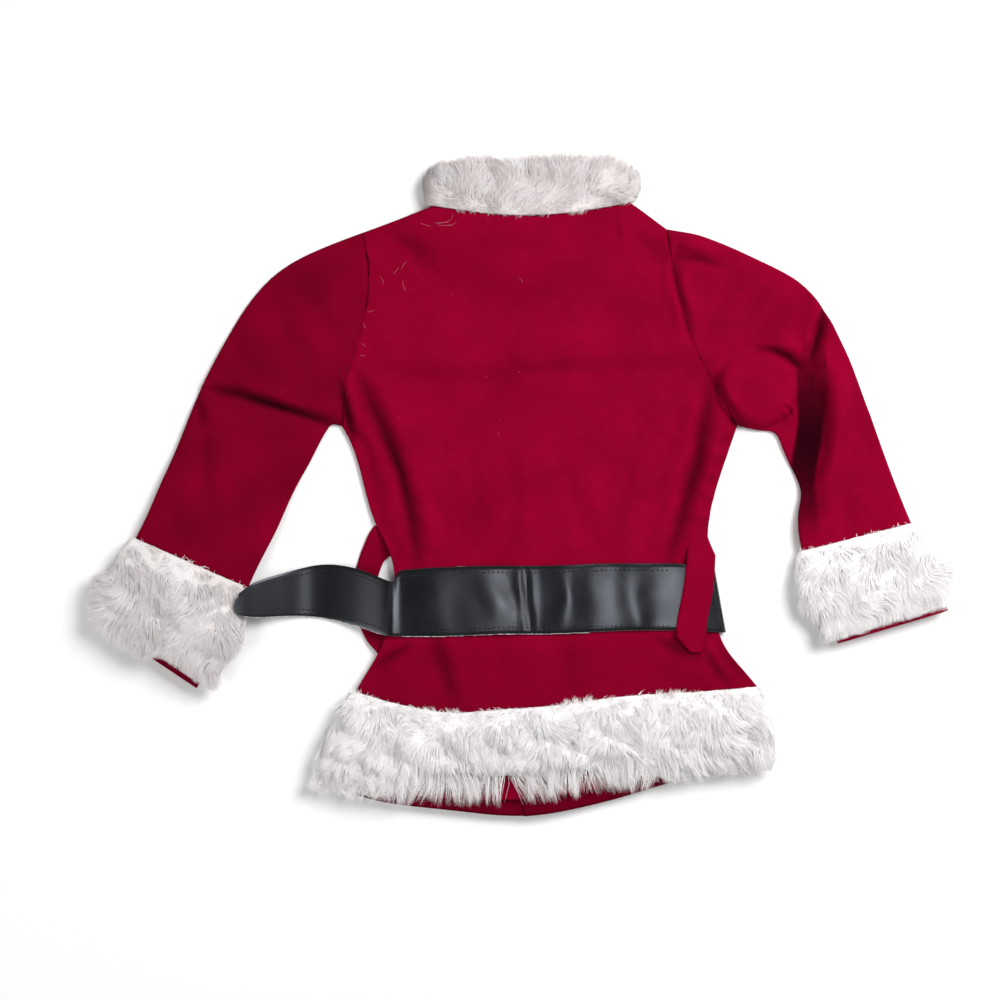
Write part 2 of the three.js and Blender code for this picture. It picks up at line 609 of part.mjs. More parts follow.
// A slab of fur on the skirt's own points. Its cross-section swells from the seam and thins to the
// fringe. Columns beside the cloth's edges and a row past its hem give the fur's reach.
// The fronts' fur has no fringe: it ends with the cloth.
function hemFur(name, face, { over, depth, reachLeft, reachRight, sideHeight }) {
  const rows = face.slice(FUR_ROW);
  const up = over ? 1 : -1;
  const base = rows.map((row) => row.map((p) => point(p.x, p.y, p.z + up * SEAM)));
  if (over) {
    base.push(base.at(-1).map((p) => point(p.x, p.y - FRINGE, p.z - FRINGE_DROP)));
  }
  const pile = base.map((row, i) => (
    row.map((p) => point(p.x, p.y, p.z + up * depth * HEM_FULLNESS[i]))
  ));
  const reach = (grid, i, amount, height) => {
    const [left, right] = [grid[i][0], grid[i].at(-1)];
    const share = THREE.MathUtils.lerp(0.35, 1, ramp(i, 0, 3));
    if (reachLeft > 0) {
      grid[i].unshift(point(left.x - amount * reachLeft * share, left.y, height));
    }
    if (reachRight > 0) {
      grid[i].push(point(right.x + amount * reachRight * share, right.y, height));
    }
  };
  base.forEach((_, i) => {
    reach(base, i, 1, sideHeight);
    reach(pile, i, 1.12, sideHeight + up * depth * 0.3 * HEM_FULLNESS[i]);
  });
  addPiece(name, wall(pile, base), fur);
}

// The collar: a flattened band of fur, open at its top and at the centre front. Seen from its front
// end it runs round the left side, over the back of the neck and round to the other front end.
function collar(backSeam, neckline) {
  const bendHeight = (COLLAR_INSIDE.low + COLLAR_INSIDE.high) / 2;
  const bendRadius = (COLLAR_INSIDE.high - COLLAR_INSIDE.low) / 2;
  const stations = [];
  const frontHalf = (points) => points.map((p) => {
    const inward = point(NECK.x, NECK.y).sub(p).setLength(JOIN);
    const low = p.y + Math.max(inward.y, JOIN / 2);
    const x = p.x + inward.x;
    const high = Math.min(p.y + COLLAR_HEIGHT, COLLAR_TOP);
    return { x, z: COLLAR_INSIDE.low, nx: 0, nz: -1, low, high, depth: FUR_UNDER };
  });
  const bend = (centre, sign) => COLLAR_BEND.map((degrees) => {
    const turn = THREE.MathUtils.degToRad(degrees);
    return {
      x: centre.x + sign * bendRadius * Math.cos(turn),
      z: bendHeight + bendRadius * Math.sin(turn),
      nx: sign * Math.cos(turn),
      nz: Math.sin(turn),
      low: centre.y + JOIN + 1,
      high: COLLAR_TOP + 1,
      depth: FUR_COLLAR - 0.5,
    };
  });
  const overNeck = backSeam.slice(1, -1).map((p, k, list) => {
    const share = (k + 1) / (list.length + 1);
    const high = p.y + COLLAR_BACK.atSides + COLLAR_BACK.more * Math.sin(Math.PI * share) ** 0.5;
    return { x: p.x, z: COLLAR_INSIDE.high, nx: 0, nz: 1, low: p.y + JOIN, high, depth: FUR_COLLAR };
  });
  const [leftEnd, rightEnd] = [backSeam[0], backSeam.at(-1)];
  const underlap = neckline.findIndex((p) => p.x >= UNDERLAP_EDGE - 0.01);
  const rightStart = neckline[underlap].clone().setX(neckline[underlap].x + COLLAR_GAP);
  stations.push(...frontHalf(neckline.slice(0, underlap + 1)).reverse());
  stations.push(...bend(leftEnd, -1));
  stations.push(...overNeck);
  stations.push(...bend(rightEnd, 1).reverse());
  stations.push(...frontHalf([rightStart, ...neckline.slice(underlap + 1)]).reverse());

  const inside = COLLAR_LEVELS.map(({ up }) => stations.map((s) => (
    point(s.x, THREE.MathUtils.lerp(s.low, s.high, up), s.z)
  )));
  const outside = COLLAR_LEVELS.map(({ full }, i) => stations.map((s, k) => {
    const p = inside[i][k];
    return point(p.x + s.nx * s.depth * full, p.y, p.z + s.nz * s.depth * full);
  }));
  addPiece('collar_fur', wall(outside, inside), fur);
}

// ---------- Belt, loops and buckle ----------

// The highest point of the back under a strip of the belt around x.
function restingHeight(back, x, upper, lower, reach) {
  let top = -Infinity;
  for (const dx of [-reach, -reach / 2, 0, reach / 2, reach]) {
    for (let share = -0.05; share <= 1.051; share += 0.1) {
      top = Math.max(top, heightOver(back, x + dx, THREE.MathUtils.lerp(upper, lower, share)));
    }
  }
  return top;
}

function strapRow(upperX, lowerX, upper, lower, z) {
  const ends = [point(upperX, upper, z), point(lowerX, lower, z)];
  return [ends[0], ends[0].clone().lerp(ends[1], 0.5), ends[1]];
}

function belt(back) {
  const rows = BELT_BACK.map(({ x, upper, lower, z }) => {
    const resting = z ?? restingHeight(back, x, upper, lower, 12) + SEAM + STRAP / 2;
    return strapRow(x, x, upper, lower, resting);
  });
  const low = STRAP / 2;
  const radius = (BEND_TOP - low) / 2;
  const { upper, lower } = BELT_UNDER;
  for (let k = 0; k <= BEND_STEPS; k += 1) {
    const turn = Math.PI * (0.5 - k / BEND_STEPS);
    const out = radius * Math.cos(turn);
    const z = low + radius + radius * Math.sin(turn);
    rows.push(strapRow(BELT_SIDE.upper + out, BELT_SIDE.lower + out, upper, lower, z));
  }
  for (const x of UNDER_ROWS) {
    rows.push(strapRow(x, x, upper, lower, low));
  }
  const barEdge = BUCKLE.x - BUCKLE.bar / 2 - TAIL_CLEARANCE;
  const over = STRAP_OVER_BUCKLE;
  rows.push(strapRow(-34, -34, upper, lower, low + 1));
  rows.push(strapRow(-42, -42, upper, lower, over - 0.8));
  rows.push(strapRow(-48, -48, upper, lower, over));
  rows.push(strapRow(BUCKLE.x + 8, BUCKLE.x + 8, upper, lower, over));
  const foldRadius = (over - low) / 2;
  for (const degrees of TAIL_TURN) {
    const turn = THREE.MathUtils.degToRad(degrees);
    const x = barEdge - foldRadius * Math.cos(turn);
    rows.push(strapRow(x, x, upper, lower, low + foldRadius + foldRadius * Math.sin(turn)));
  }
  rows.push(strapRow(barEdge + STRAP_TAIL, barEdge + STRAP_TAIL, upper, lower, low));
  const [above, below] = strapFaces(rows, STRAP);
  addPiece('belt_strap', wall(above, below), leather);
  return rows;
}

function beltLoops(back, beltRows) {
  const ribbon = (name, rows) => {
    const [above, below] = strapFaces(rows, LOOP);
    addPiece(name, wall(above, below), velvet);
  };
  ribbon('belt_loop_left', LEFT_LOOP.map(({ y, left, right, z }) => (
    [point(left, y, z), point((left + right) / 2, y, z), point(right, y, z)]
  )));
  const beltTop = Math.max(...beltRows.flat().filter((p) => p.x > 125).map((p) => p.z)) + STRAP / 2;
  ribbon('belt_loop_right', RIGHT_LOOP.map(({ y, left, right, overBelt }) => {
    const middle = (left + right) / 2;
    const overBack = [left, middle, right - 4].map((x) => heightOver(back, x, y));
    const top = overBelt ? beltTop + 0.5 : Math.max(...overBack.filter(Number.isFinite)) + SEAM + 0.3;
    return [left, middle, right].map((x) => point(x, y, top + LOOP / 2));
  }));
}

function rectangle(path, width, height, centreX) {
  const [halfWidth, halfHeight] = [width / 2, height / 2];
  path.moveTo(centreX - halfWidth, -halfHeight);
  path.lineTo(centreX + halfWidth, -halfHeight);
  path.lineTo(centreX + halfWidth, halfHeight);
  path.lineTo(centreX - halfWidth, halfHeight);
  path.closePath();
  return path;
}

// The frame is one plate with a window. Its bar is thinner, and stands off the surface so that the
// strap's end passes under it, so it is a separate piece let in between the frame's long sides.
function buckle() {
  const { width, height, border, thick, bar, barLow, barHigh } = BUCKLE;
  const frame = rectangle(new THREE.Shape(), width, height, 0);
  frame.holes.push(rectangle(new THREE.Path(), width - 2 * border, height - 2 * border, 0));
  const frameGeometry = new THREE.ExtrudeGeometry(frame, { depth: thick, bevelEnabled: false });
  const barGeometry = new THREE.BoxGeometry(bar, height - 2 * border - 2 * SEAM, barHigh - barLow);
  frameGeometry.translate(BUCKLE.x, BUCKLE.y, 0);
  barGeometry.translate(BUCKLE.x, BUCKLE.y, (barLow + barHigh) / 2);
  addPiece('belt_buckle_frame', frameGeometry, metal);
  addPiece('belt_buckle_bar', barGeometry, metal);
}

// ---------- Assembly ----------

const back = backPanel();
const fronts = frontPanels();
sleeve('left', LEFT_SLEEVE, leftArmhole, -1);
sleeve('right', RIGHT_SLEEVE, rightArmhole, 1);
const neckSeam = back.upside[0].slice(SHOULDER_COLUMNS, SHOULDER_COLUMNS + NECK_COLUMNS + 1);
collar(neckSeam, fronts.neckline);

const sideSeam = FUR_UNDER + SEAM + CLOTH + SEAM / 2;   // height of the side seams at the fur
hemFur('hem_fur_back', back.upside, {
  over: true,
  depth: FUR_HEM,
  reachLeft: HEM_REACH.left,
  reachRight: HEM_REACH.right,
  sideHeight: sideSeam + SEAM / 2,
});
hemFur('hem_fur_front_left', fronts.left, {
  over: false,
  depth: FUR_UNDER,
  reachLeft: HEM_REACH.left,
  reachRight: 0,
  sideHeight: sideSeam - SEAM / 2,
});
const pastLap = fronts.right[0].findIndex((_, j) => fronts.right[FUR_ROW][j].x > OVERLAP_EDGE + 6);
hemFur('hem_fur_front_right', fronts.right.map((row) => row.slice(pastLap)), {
  over: false,
  depth: FUR_UNDER,
  reachLeft: 0,
  reachRight: HEM_REACH.right,
  sideHeight: sideSeam - SEAM / 2,
});
const beltRows = belt(back.upside);
beltLoops(back.upside, beltRows);
buckle();

// The origin is at the middle of the garment's extent, on the surface that it lies on.
const extent = new THREE.Box3().setFromObject(garment);
const centre = extent.getCenter(new THREE.Vector3());
garment.position.set(-centre.x, -centre.y, -extent.min.z);
garment.updateMatrixWorld(true);

export default garment;
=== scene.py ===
import math

import bmesh
import bpy
import numpy as np
from mathutils import Matrix, Vector
from mathutils.bvhtree import BVHTree
from mathutils.kdtree import KDTree


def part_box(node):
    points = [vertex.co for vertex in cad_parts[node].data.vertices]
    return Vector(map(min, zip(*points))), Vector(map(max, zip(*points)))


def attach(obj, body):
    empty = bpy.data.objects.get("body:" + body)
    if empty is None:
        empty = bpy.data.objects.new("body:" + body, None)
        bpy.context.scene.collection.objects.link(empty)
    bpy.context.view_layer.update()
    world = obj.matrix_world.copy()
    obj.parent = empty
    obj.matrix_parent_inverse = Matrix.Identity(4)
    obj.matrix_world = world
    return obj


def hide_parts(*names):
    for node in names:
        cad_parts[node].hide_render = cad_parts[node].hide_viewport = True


# A child's Santa jacket with its belt, laid face down. The frame is in metres; the tables below are in
# millimetres, in the frame's own axes: +X to the wearer's right, +Y to the neck, +Z up.
MM = 0.001

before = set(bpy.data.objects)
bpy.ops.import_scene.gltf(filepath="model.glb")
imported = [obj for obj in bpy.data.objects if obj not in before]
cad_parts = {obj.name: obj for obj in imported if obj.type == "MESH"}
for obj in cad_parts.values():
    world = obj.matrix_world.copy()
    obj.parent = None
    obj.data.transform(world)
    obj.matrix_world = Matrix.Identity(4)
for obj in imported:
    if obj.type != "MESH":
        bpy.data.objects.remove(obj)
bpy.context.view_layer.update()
scene = bpy.context.scene
scene.view_settings.view_transform = "Standard"


# ---------- Small tools ----------

def smooth(value, low, high):
    """0 below low, 1 above high, and a soft step between them."""
    share = np.clip((value - low) / (high - low), 0.0, 1.0)
    return share * share * (3.0 - 2.0 * share)


def bell(value):
    """1 at 0, falling off softly on both sides."""
    return np.exp(-(value ** 2))


def points_of(mesh):
    co = np.empty(len(mesh.vertices) * 3)
    mesh.vertices.foreach_get("co", co)
    return co.reshape(-1, 3)


def put_points(mesh, co):
    mesh.vertices.foreach_set("co", np.asarray(co, dtype=float).ravel())
    mesh.update()


def normals_of(mesh):
    normals = np.empty(len(mesh.vertices) * 3)
    mesh.vertices.foreach_get("normal", normals)
    return normals.reshape(-1, 3)


def new_object(name, mesh):
    obj = bpy.data.objects.new(name, mesh)
    scene.collection.objects.link(obj)
    return obj


def soft_noise(x, y, seed, waves=7, size=40.0):
    """A smooth uneven field of about -1 to 1, as a sum of sines with fixed random directions."""
    rng = np.random.default_rng(seed)
    total = np.zeros_like(x)
    for _ in range(waves):
        turn = rng.uniform(0, math.tau)
        pitch = math.tau / (size * rng.uniform(0.7, 1.8))
        phase = rng.uniform(0, math.tau)
        total += np.sin((x * math.cos(turn) + y * math.sin(turn)) * pitch + phase)
    return total / math.sqrt(waves)


def near_path(x, y, path):
    """Distance to a path, share of the way along it, and side: +1 to its left, -1 to its right."""
    best = np.full(x.shape, 1e9)
    share = np.zeros_like(x)
    side = np.ones_like(x)
    lengths = [math.dist(a, b) for a, b in zip(path, path[1:])]
    total = sum(lengths)
    run = 0.0
    for (ax, ay), (bx, by), length in zip(path, path[1:], lengths):
        ux, uy = (bx - ax) / length, (by - ay) / length
        along = np.clip((x - ax) * ux + (y - ay) * uy, 0.0, length)
        dx, dy = x - ax - along * ux, y - ay - along * uy
        distance = np.hypot(dx, dy)
        closer = distance < best
        best = np.where(closer, distance, best)
        share = np.where(closer, (run + along) / total, share)
        side = np.where(closer, np.where(ux * dy - uy * dx >= 0, 1.0, -1.0), side)
        run += length
    return best, share, side


# ---------- Materials ----------

class Nodes:
    """Short ways of making a material's nodes."""

    def __init__(self, name):
        self.material = bpy.data.materials.new(name)
        self.material.use_nodes = True
        self.tree = self.material.node_tree
        self.shader = self.tree.nodes["Principled BSDF"]

    def add(self, kind, inputs=None, **settings):
        node = self.tree.nodes.new(kind)
        for key, value in settings.items():
            setattr(node, key, value)
        for key, value in (inputs or {}).items():
            if isinstance(value, bpy.types.NodeSocket):
                self.tree.links.new(value, node.inputs[key])
            else:
                node.inputs[key].default_value = value
        return node

    def set(self, **values):
        for key, value in values.items():
            socket = self.shader.inputs[key.replace("_", " ")]
            if isinstance(value, bpy.types.NodeSocket):
                self.tree.links.new(value, socket)
            else:
                socket.default_value = value

    def noise(self, scale, detail=4.0, roughness=0.6, vector=None):
        inputs = {"Scale": scale, "Detail": detail, "Roughness": roughness}
        if vector is not None:
            inputs["Vector"] = vector
        return self.add("ShaderNodeTexNoise", inputs).outputs["Fac"]

    def place(self):
        return self.add("ShaderNodeTexCoord").outputs["Object"]

    def span(self, value, low, high, to_low=0.0, to_high=1.0):
        inputs = {"Value": value, "From Min": low, "From Max": high, "To Min": to_low, "To Max": to_high}
        return self.add("ShaderNodeMapRange", inputs).outputs["Result"]

    def mix(self, share, first, second):
        node = self.add("ShaderNodeMix", data_type="RGBA")
        for socket, value in ((node.inputs[0], share), (node.inputs[6], first), (node.inputs[7], second)):
            if isinstance(value, bpy.types.NodeSocket):
                self.tree.links.new(value, socket)
            else:
                socket.default_value = value
        return node.outputs[2]

    def math(self, operation, first, second):
        return self.add("ShaderNodeMath", {0: first, 1: second}, operation=operation).outputs[0]

    def attribute(self, name):
        return self.add("ShaderNodeAttribute", attribute_name=name).outputs["Fac"]

    def bump(self, height, strength, distance):
        inputs = {"Height": height, "Strength": strength, "Distance": distance}
        return self.add("ShaderNodeBump", inputs).outputs["Normal"]


def velvet_material():
    n = Nodes("velvet")
    place = n.place()
    pile = n.noise(2600.0, 2.0, 0.6, place)
    patches = n.noise(26.0, 3.0, 0.55, place)
    streaks = n.noise(140.0, 3.0, 0.6, place)
    base = n.mix(n.span(patches, 0.32, 0.68), (0.205, 0.0002, 0.0155, 1), (0.262, 0.0003, 0.0215, 1))
    base = n.mix(n.span(streaks, 0.35, 0.75, 0.0, 0.22), base, (0.31, 0.0006, 0.028, 1))
    base = n.mix(n.span(pile, 0.3, 0.7, 0.0, 0.22), base, (0.12, 0.0002, 0.0075, 1))
    # Nap tone by piece and region; on the left sleeve and the left loop it is partly painted shade, on the
    # side away from the key light.
    base = n.mix(n.attribute("nap"), base, (0.105, 0.0002, 0.0082, 1))
    # Painted shade: the velvet darkens towards black in its fold bottoms, along the armhole seams and on the
    # fronts' lower ends.
    base = n.mix(n.attribute("painted_shade"), base, (0.014, 0.0002, 0.0026, 1))
    n.set(Base_Color=base, Roughness=0.9)
    n.set(Specular_IOR_Level=0.02, Sheen_Weight=0.10, Sheen_Roughness=0.5)
    n.set(Sheen_Tint=(0.85, 0.01, 0.10, 1))
    height = n.math("ADD", n.math("MULTIPLY", pile, 0.6), n.math("MULTIPLY", streaks, 0.4))
    n.set(Normal=n.bump(height, 0.35, 0.0006))
    return n.material


def pile_material():
    """The fur's strands: a little shaded at the root, pale at the tip, and uneven from tuft to tuft."""
    n = Nodes("fur_pile")
    along = n.attribute("along")
    tuft = n.attribute("tuft")
    root = n.mix(tuft, (0.86, 0.825, 0.825, 1), (0.93, 0.90, 0.90, 1))
    tip = n.mix(tuft, (0.90, 0.865, 0.87, 1), (0.97, 0.95, 0.95, 1))
    colour = n.mix(n.span(along, 0.0, 0.6), root, tip)
    # Painted shade: the strands are greyed on the left cuff and on the collar.
    n.set(Base_Color=n.mix(n.attribute("painted_fur_shade"), colour, (0.60, 0.54, 0.53, 1)), Roughness=0.8)
    n.set(Specular_IOR_Level=0.2, Sheen_Weight=0.2, Sheen_Roughness=0.5)
    return n.material


def skin_material():
    n = Nodes("fur_skin")
    tufts = n.noise(160.0, 4.0, 0.7, n.place())
    colour = n.mix(tufts, (0.84, 0.80, 0.80, 1), (0.95, 0.92, 0.92, 1))
    # Painted shade: the skin is greyed on the left cuff and on the collar.
    n.set(Base_Color=n.mix(n.attribute("painted_fur_shade"), colour, (0.60, 0.54, 0.53, 1)), Roughness=1.0)
    n.set(Specular_IOR_Level=0.05, Normal=n.bump(tufts, 0.6, 0.003))
    return n.material


def leather_material():
    n = Nodes("belt_leather")
    place = n.place()
    cells = n.add("ShaderNodeTexVoronoi", {"Vector": place, "Scale": 1100.0}).outputs["Distance"]
    grain = n.noise(800.0, 4.0, 0.65, place)
    smudges = n.noise(34.0, 4.0, 0.6, place)
    crackle = n.noise(120.0, 5.0, 0.7, place)
    base = n.mix(n.span(smudges, 0.3, 0.7), (0.0030, 0.0030, 0.0038, 1), (0.0068, 0.0070, 0.0095, 1))
    # Painted highlight: the strap's rims are lightened, most along its lower edge.
    base = n.mix(n.attribute("painted_rim_highlight"), base, (0.20, 0.18, 0.18, 1))
    base = n.mix(n.attribute("shade"), base, (0.0012, 0.0012, 0.0014, 1))
    rough = n.math("ADD", n.span(smudges, 0.3, 0.7, 0.15, 0.21), n.math("MULTIPLY", crackle, 0.06))
    rough = n.math("MAXIMUM", rough, n.math("MULTIPLY", n.attribute("shade"), 0.62))
    n.set(Base_Color=base, Roughness=rough, Specular_IOR_Level=0.5, Specular_Tint=(0.84, 0.90, 1.0, 1))
    height = n.math("ADD", n.math("MULTIPLY", cells, 0.35), n.math("MULTIPLY", grain, 0.35))
    height = n.math("ADD", height, n.math("MULTIPLY", crackle, 0.9))
    n.set(Normal=n.bump(height, 0.05, 0.0006))
    return n.material


def edge_highlight_material():
    """A pale line along the strap's edges: a painted highlight where its rounded rims catch the light."""
    n = Nodes("belt_edge_highlight")
    highlight_breaks = n.noise(420.0, 3.0, 0.6, n.place())
    base = n.mix(n.span(highlight_breaks, 0.4, 0.6), (0.14, 0.13, 0.14, 1), (0.66, 0.62, 0.64, 1))
    n.set(Base_Color=base, Roughness=0.8, Specular_IOR_Level=0.2)
    return n.material


def thread_material():
    n = Nodes("belt_thread")
    twist = n.noise(3200.0, 2.0, 0.5, n.place())
    n.set(Base_Color=n.mix(twist, (0.0015, 0.0015, 0.002, 1), (0.006, 0.006, 0.008, 1)), Roughness=0.34)
    n.set(Normal=n.bump(twist, 0.4, 0.0003))
    return n.material


def metal_material():
    n = Nodes("buckle_metal")
    scuffs = n.noise(300.0, 5.0, 0.7, n.place())
    base = n.mix(n.span(scuffs, 0.35, 0.7), (0.66, 0.50, 0.23, 1), (0.52, 0.38, 0.16, 1))
    n.set(Base_Color=base, Metallic=1.0, Roughness=n.span(scuffs, 0.3, 0.7, 0.22, 0.42))
    n.set(Normal=n.bump(scuffs, 0.15, 0.0004))
    return n.material


def lint_material():
    n = Nodes("lint")
    spots = n.noise(900.0, 2.0, 0.5, n.place())
    n.set(Base_Color=n.mix(spots, (0.40, 0.09, 0.15, 1), (0.62, 0.28, 0.33, 1)), Roughness=0.9)
    return n.material


def floor_material():
    n = Nodes("pale_floor")
    faint = n.noise(3.0, 2.0, 0.5, n.place())
    n.set(Base_Color=n.mix(faint, (0.93, 0.93, 0.93, 1), (0.95, 0.95, 0.95, 1)), Roughness=0.9)
    n.set(Specular_IOR_Level=0.1)
    return n.material


velvet = velvet_material()
pile_finish = pile_material()
skin_finish = skin_material()
leather = leather_material()
thread = thread_material()
edge_highlight = edge_highlight_material()
metal = metal_material()
lint_finish = lint_material()


# ---------- Shells on the CAD pieces ----------

def creased(bm, sharp, sharp_angle=55.0, corner_angle=28.0):
    """Keeps the rims nearly sharp, and the corners where a rim turns quickly."""
    by_edge = bm.edges.layers.float.new("crease_edge")
    by_vertex = bm.verts.layers.float.new("crease_vert")
    rims = {edge for edge in bm.edges if edge.calc_face_angle(0.0) > math.radians(sharp_angle)}
    for edge in rims:
        edge[by_edge] = sharp
    for vertex in bm.verts:
        mine = [edge for edge in vertex.link_edges if edge in rims]
        if len(mine) == 2:
            a, b = (edge.other_vert(vertex).co - vertex.co for edge in mine)
            if math.pi - a.angle(b, math.pi) > math.radians(corner_angle):
                vertex[by_vertex] = 1.0


def refined_copy(node, name, levels=2, sharp=1.0):
    """A CAD piece's mesh as quads, subdivided to a smooth surface."""
    bm = bmesh.new()
    bm.from_mesh(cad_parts[node].data)
    bmesh.ops.remove_doubles(bm, verts=bm.verts, dist=1e-5)
    bmesh.ops.join_triangles(
        bm, faces=bm.faces, angle_face_threshold=math.radians(60), angle_shape_threshold=math.radians(80),
    )
    if sharp:
        creased(bm, sharp)
    rough = bpy.data.meshes.new(name + "_rough")
    bm.to_mesh(rough)
    bm.free()
    obj = new_object(name, rough)
    modifier = obj.modifiers.new("fine", "SUBSURF")
    modifier.levels = levels
    modifier.render_levels = levels
    evaluated = obj.evaluated_get(bpy.context.evaluated_depsgraph_get())
    mesh = bpy.data.meshes.new_from_object(evaluated)
    mesh.name = name
    obj.modifiers.clear()
    obj.data = mesh
    bpy.data.meshes.remove(rough)
    mesh.shade_smooth()
    return obj


def split_finer(obj, wanted, only_upper=True):
    """Halves the cells where wanted(x, y) is true, of the upper face or of all, the rims excepted."""
    bm = bmesh.new()
    bm.from_mesh(obj.data)
    tree = BVHTree.FromBMesh(bm)
    up = Vector((0, 0, 1))
    upper = [f for f in bm.faces if f.normal.z > 0.25 or not only_upper]
    centres = np.array([f.calc_center_median()[:2] for f in upper]) / MM
    chosen = wanted(centres[:, 0], centres[:, 1])
    edges = set()
    for face, take in zip(upper, chosen):
        if take and (not only_upper or tree.ray_cast(face.calc_center_median() + 0.0002 * up, up)[0] is None):
            edges.update(face.edges)
    bmesh.ops.subdivide_edges(bm, edges=list(edges), cuts=1, use_grid_fill=True)
    bm.to_mesh(obj.data)
    bm.free()
    obj.data.shade_smooth()


def finish_piece(obj, material, slot, *nodes):
    obj.data.materials.clear()
    obj.data.materials.append(material)
    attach(obj, "root")
    if nodes:
        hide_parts(*nodes)
    return obj


# ---------- Folds ----------

# Each fold runs along a path. width is half its breadth, deep how far it lies under the cloth around
# it (or, if negative, how far it stands up). crest is how far the cloth beside it stands up, on the
# side named: +1 left of the path, -1 right, 0 both. dark is how much painted shade darkens the colour
# in its bottom, and flat, where it is given, marks a bottom whose painted shade is even.
FOLD_COLUMNS = ("width", "deep", "crest", "side", "dark", "path", "flat")


def fold_table(*rows):
    return [dict(zip(FOLD_COLUMNS, row)) for row in rows]


BACK_FOLDS = fold_table(
    (6.5, 2.0, 5.0, 0, 0.8, [(-142, 92), (-122, 50), (-108, 15), (-99, -20), (-92, -64)]),
    (7, 2.0, 5.5, 0, 0.7, [(158, 92), (152, 55), (146, 20), (137, -10), (129, -38), (120, -64)]),
    (4, 1.5, 2.0, 1, 0.9, [(-158, 88), (-153, 66), (-148, 42)]),
    (9, 0.8, 2.6, 1, 0.18, [(-138, 101), (-90, 97), (-38, 94), (17, 102), (80, 106), (144, 105)]),
    (15, 0.8, 1.4, 0, 0.12, [(-34, 150), (17, 165), (68, 156), (124, 148)]),
    (7, 1.2, 1.6, 1, 0.26, [(-113, 216), (-100, 206), (-84, 192)]),
    (9, 1.2, 1.2, 0, 0.24, [(92, 214), (108, 204), (122, 196)]),
    (3.5, 0.8, 0.9, 1, 0.2, [(77, 228), (79, 205)]),
    (3.4, 1.2, 2.6, 0, 0.62, [(130, 203), (126, 186), (130, 168), (135, 150), (140, 128)]),
    (9, 0.8, 1.5, 0, 0.12, [(-43, 30), (-44, -20), (-41, -64)]),
    (7, 0.6, 1.0, 0, 0.06, [(-16, 30), (-10, -10), (-12, -44)]),
    (8, 0.8, 1.9, 0, 0.14, [(36, 14), (50, -28), (64, -60)]),
    (7, 0.8, 1.6, 1, 0.1, [(88, 4), (76, -34), (68, -62)]),
    (6.5, 1.3, 4.2, 1, 0.42, [(-78, -126), (-73, -148), (-62, -182)]),
    (5, 1.2, 2.4, 0, 0.5, [(-98, -134), (-112, -142), (-128, -152)]),
    (11, 0.8, 1.8, 0, 0.14, [(32, -132), (36, -150), (38, -178)]),
    (6, 1.2, 1.2, -1, 0.6, [(112, -128), (130, -138), (148, -144)]),
    (4.5, 1.2, 2.0, 0, 0.42, [(150, -138), (160, -152), (170, -166)]),
    (4.5, 1.0, 1.6, 0, 0.26, [(164, -134), (176, -150), (188, -164)]),
)
LEFT_SLEEVE_FOLDS = fold_table(
    (4.6, 2.6, 5.0, 1, 1.0, [(-268, 84), (-247, 80), (-230, 75), (-208, 68), (-186, 61), (-160, 53)]),
    (8, 1.6, 1.6, 0, 0.22, [(-270, 56), (-272, 24), (-274, -10)]),
    (4.5, 1.5, 1.0, 1, 0.5, [(-281, 80), (-277, 64), (-274, 50)]),
    (9, 1.3, 1.5, 0, 0.12, [(-196, 178), (-176, 150), (-158, 124)]),
    (9, 1.2, 1.4, 0, 0.12, [(-210, 150), (-196, 122), (-186, 92)]),
    (9, 1.1, 1.2, 0, 0.1, [(-250, 140), (-240, 112), (-222, 92)]),
    (10, 1.1, 1.0, 0, 0.08, [(-250, 20), (-236, -16), (-238, -44)]),
    (9, 1.0, 1.0, 0, 0.1, [(-300, -10), (-296, -36), (-300, -60)]),
)
RIGHT_SLEEVE_FOLDS = fold_table(
    (4.6, 2.6, 4.4, 0, 0.9, [(255, 158), (250, 132), (244, 112), (240, 92)]),
    (3.6, 2.8, 2.0, 1, 0.85, [(196, 119), (211, 117), (224, 111), (233, 102), (240, 88)]),
    (11.5, 3.2, 0.0, 0, 0.98, [(244, 116), (242, 68), (239, 36), (234, 0), (236, -40)], True),
    (5, 0.4, 6.0, 1, 0.3, [(254, 98), (254, 54), (250, 22), (243, -6)]),
    (4.2, 2.0, 2.6, 1, 0.85, [(160, 90), (168, 74), (176, 62), (184, 52)]),
    (4.5, 1.8, 2.0, 0, 0.55, [(131, 196), (146, 196), (164, 190)]),
    (8, 1.6, 2.4, 0, 0.16, [(236, 166), (216, 146), (194, 122)]),
    (8, 1.3, 1.7, 0, 0.12, [(212, 176), (192, 152), (170, 132)]),
    (9, 1.0, 1.4, 0, 0.1, [(180, 176), (166, 150), (160, 122)]),
    (7, 1.6, 2.0, 0, 0.3, [(254, -2), (246, -20), (240, -40)]),
    (7, 1.2, 1.5, 0, 0.14, [(274, -4), (274, -24), (278, -44)]),
    (10, 1.0, 1.5, 0, 0.1, [(282, 120), (284, 80), (296, 40)]),
    (1.8, 2.0, 2.0, 0, 0.5, [(219, 68), (224, 66), (226, 60)]),
)
# Rounded swellings: where, how far they reach each way, and how high. A high power has a steep edge.
SWELLINGS = [
    dict(at=(197, 84), across=36, along=34, high=8.0, power=7),
    dict(at=(224, 62), across=7, along=9, high=2.0, power=2),
    dict(at=(143, 211), across=14, along=11, high=3.0, power=2),
    dict(at=(266, 60), across=13, along=64, high=2.6, power=2),
    dict(at=(-120, 120), across=30, along=40, high=1.2, power=2),
    dict(at=(40, 60), across=70, along=60, high=1.6, power=2),
]
DEEPEST = 1.3                    # the back's folds lie no further than this under its own level
DEEPEST_SLEEVE = 2.4
BELT_BAND = (-128.0, -62.0)      # y of the belt, which lies close on the back
SHARP_FOLD = 8                   # folds narrower than this get finer cells
BELOW_ALL, ABOVE_ALL = -0.1, 0.2  # heights in metres that rays start from


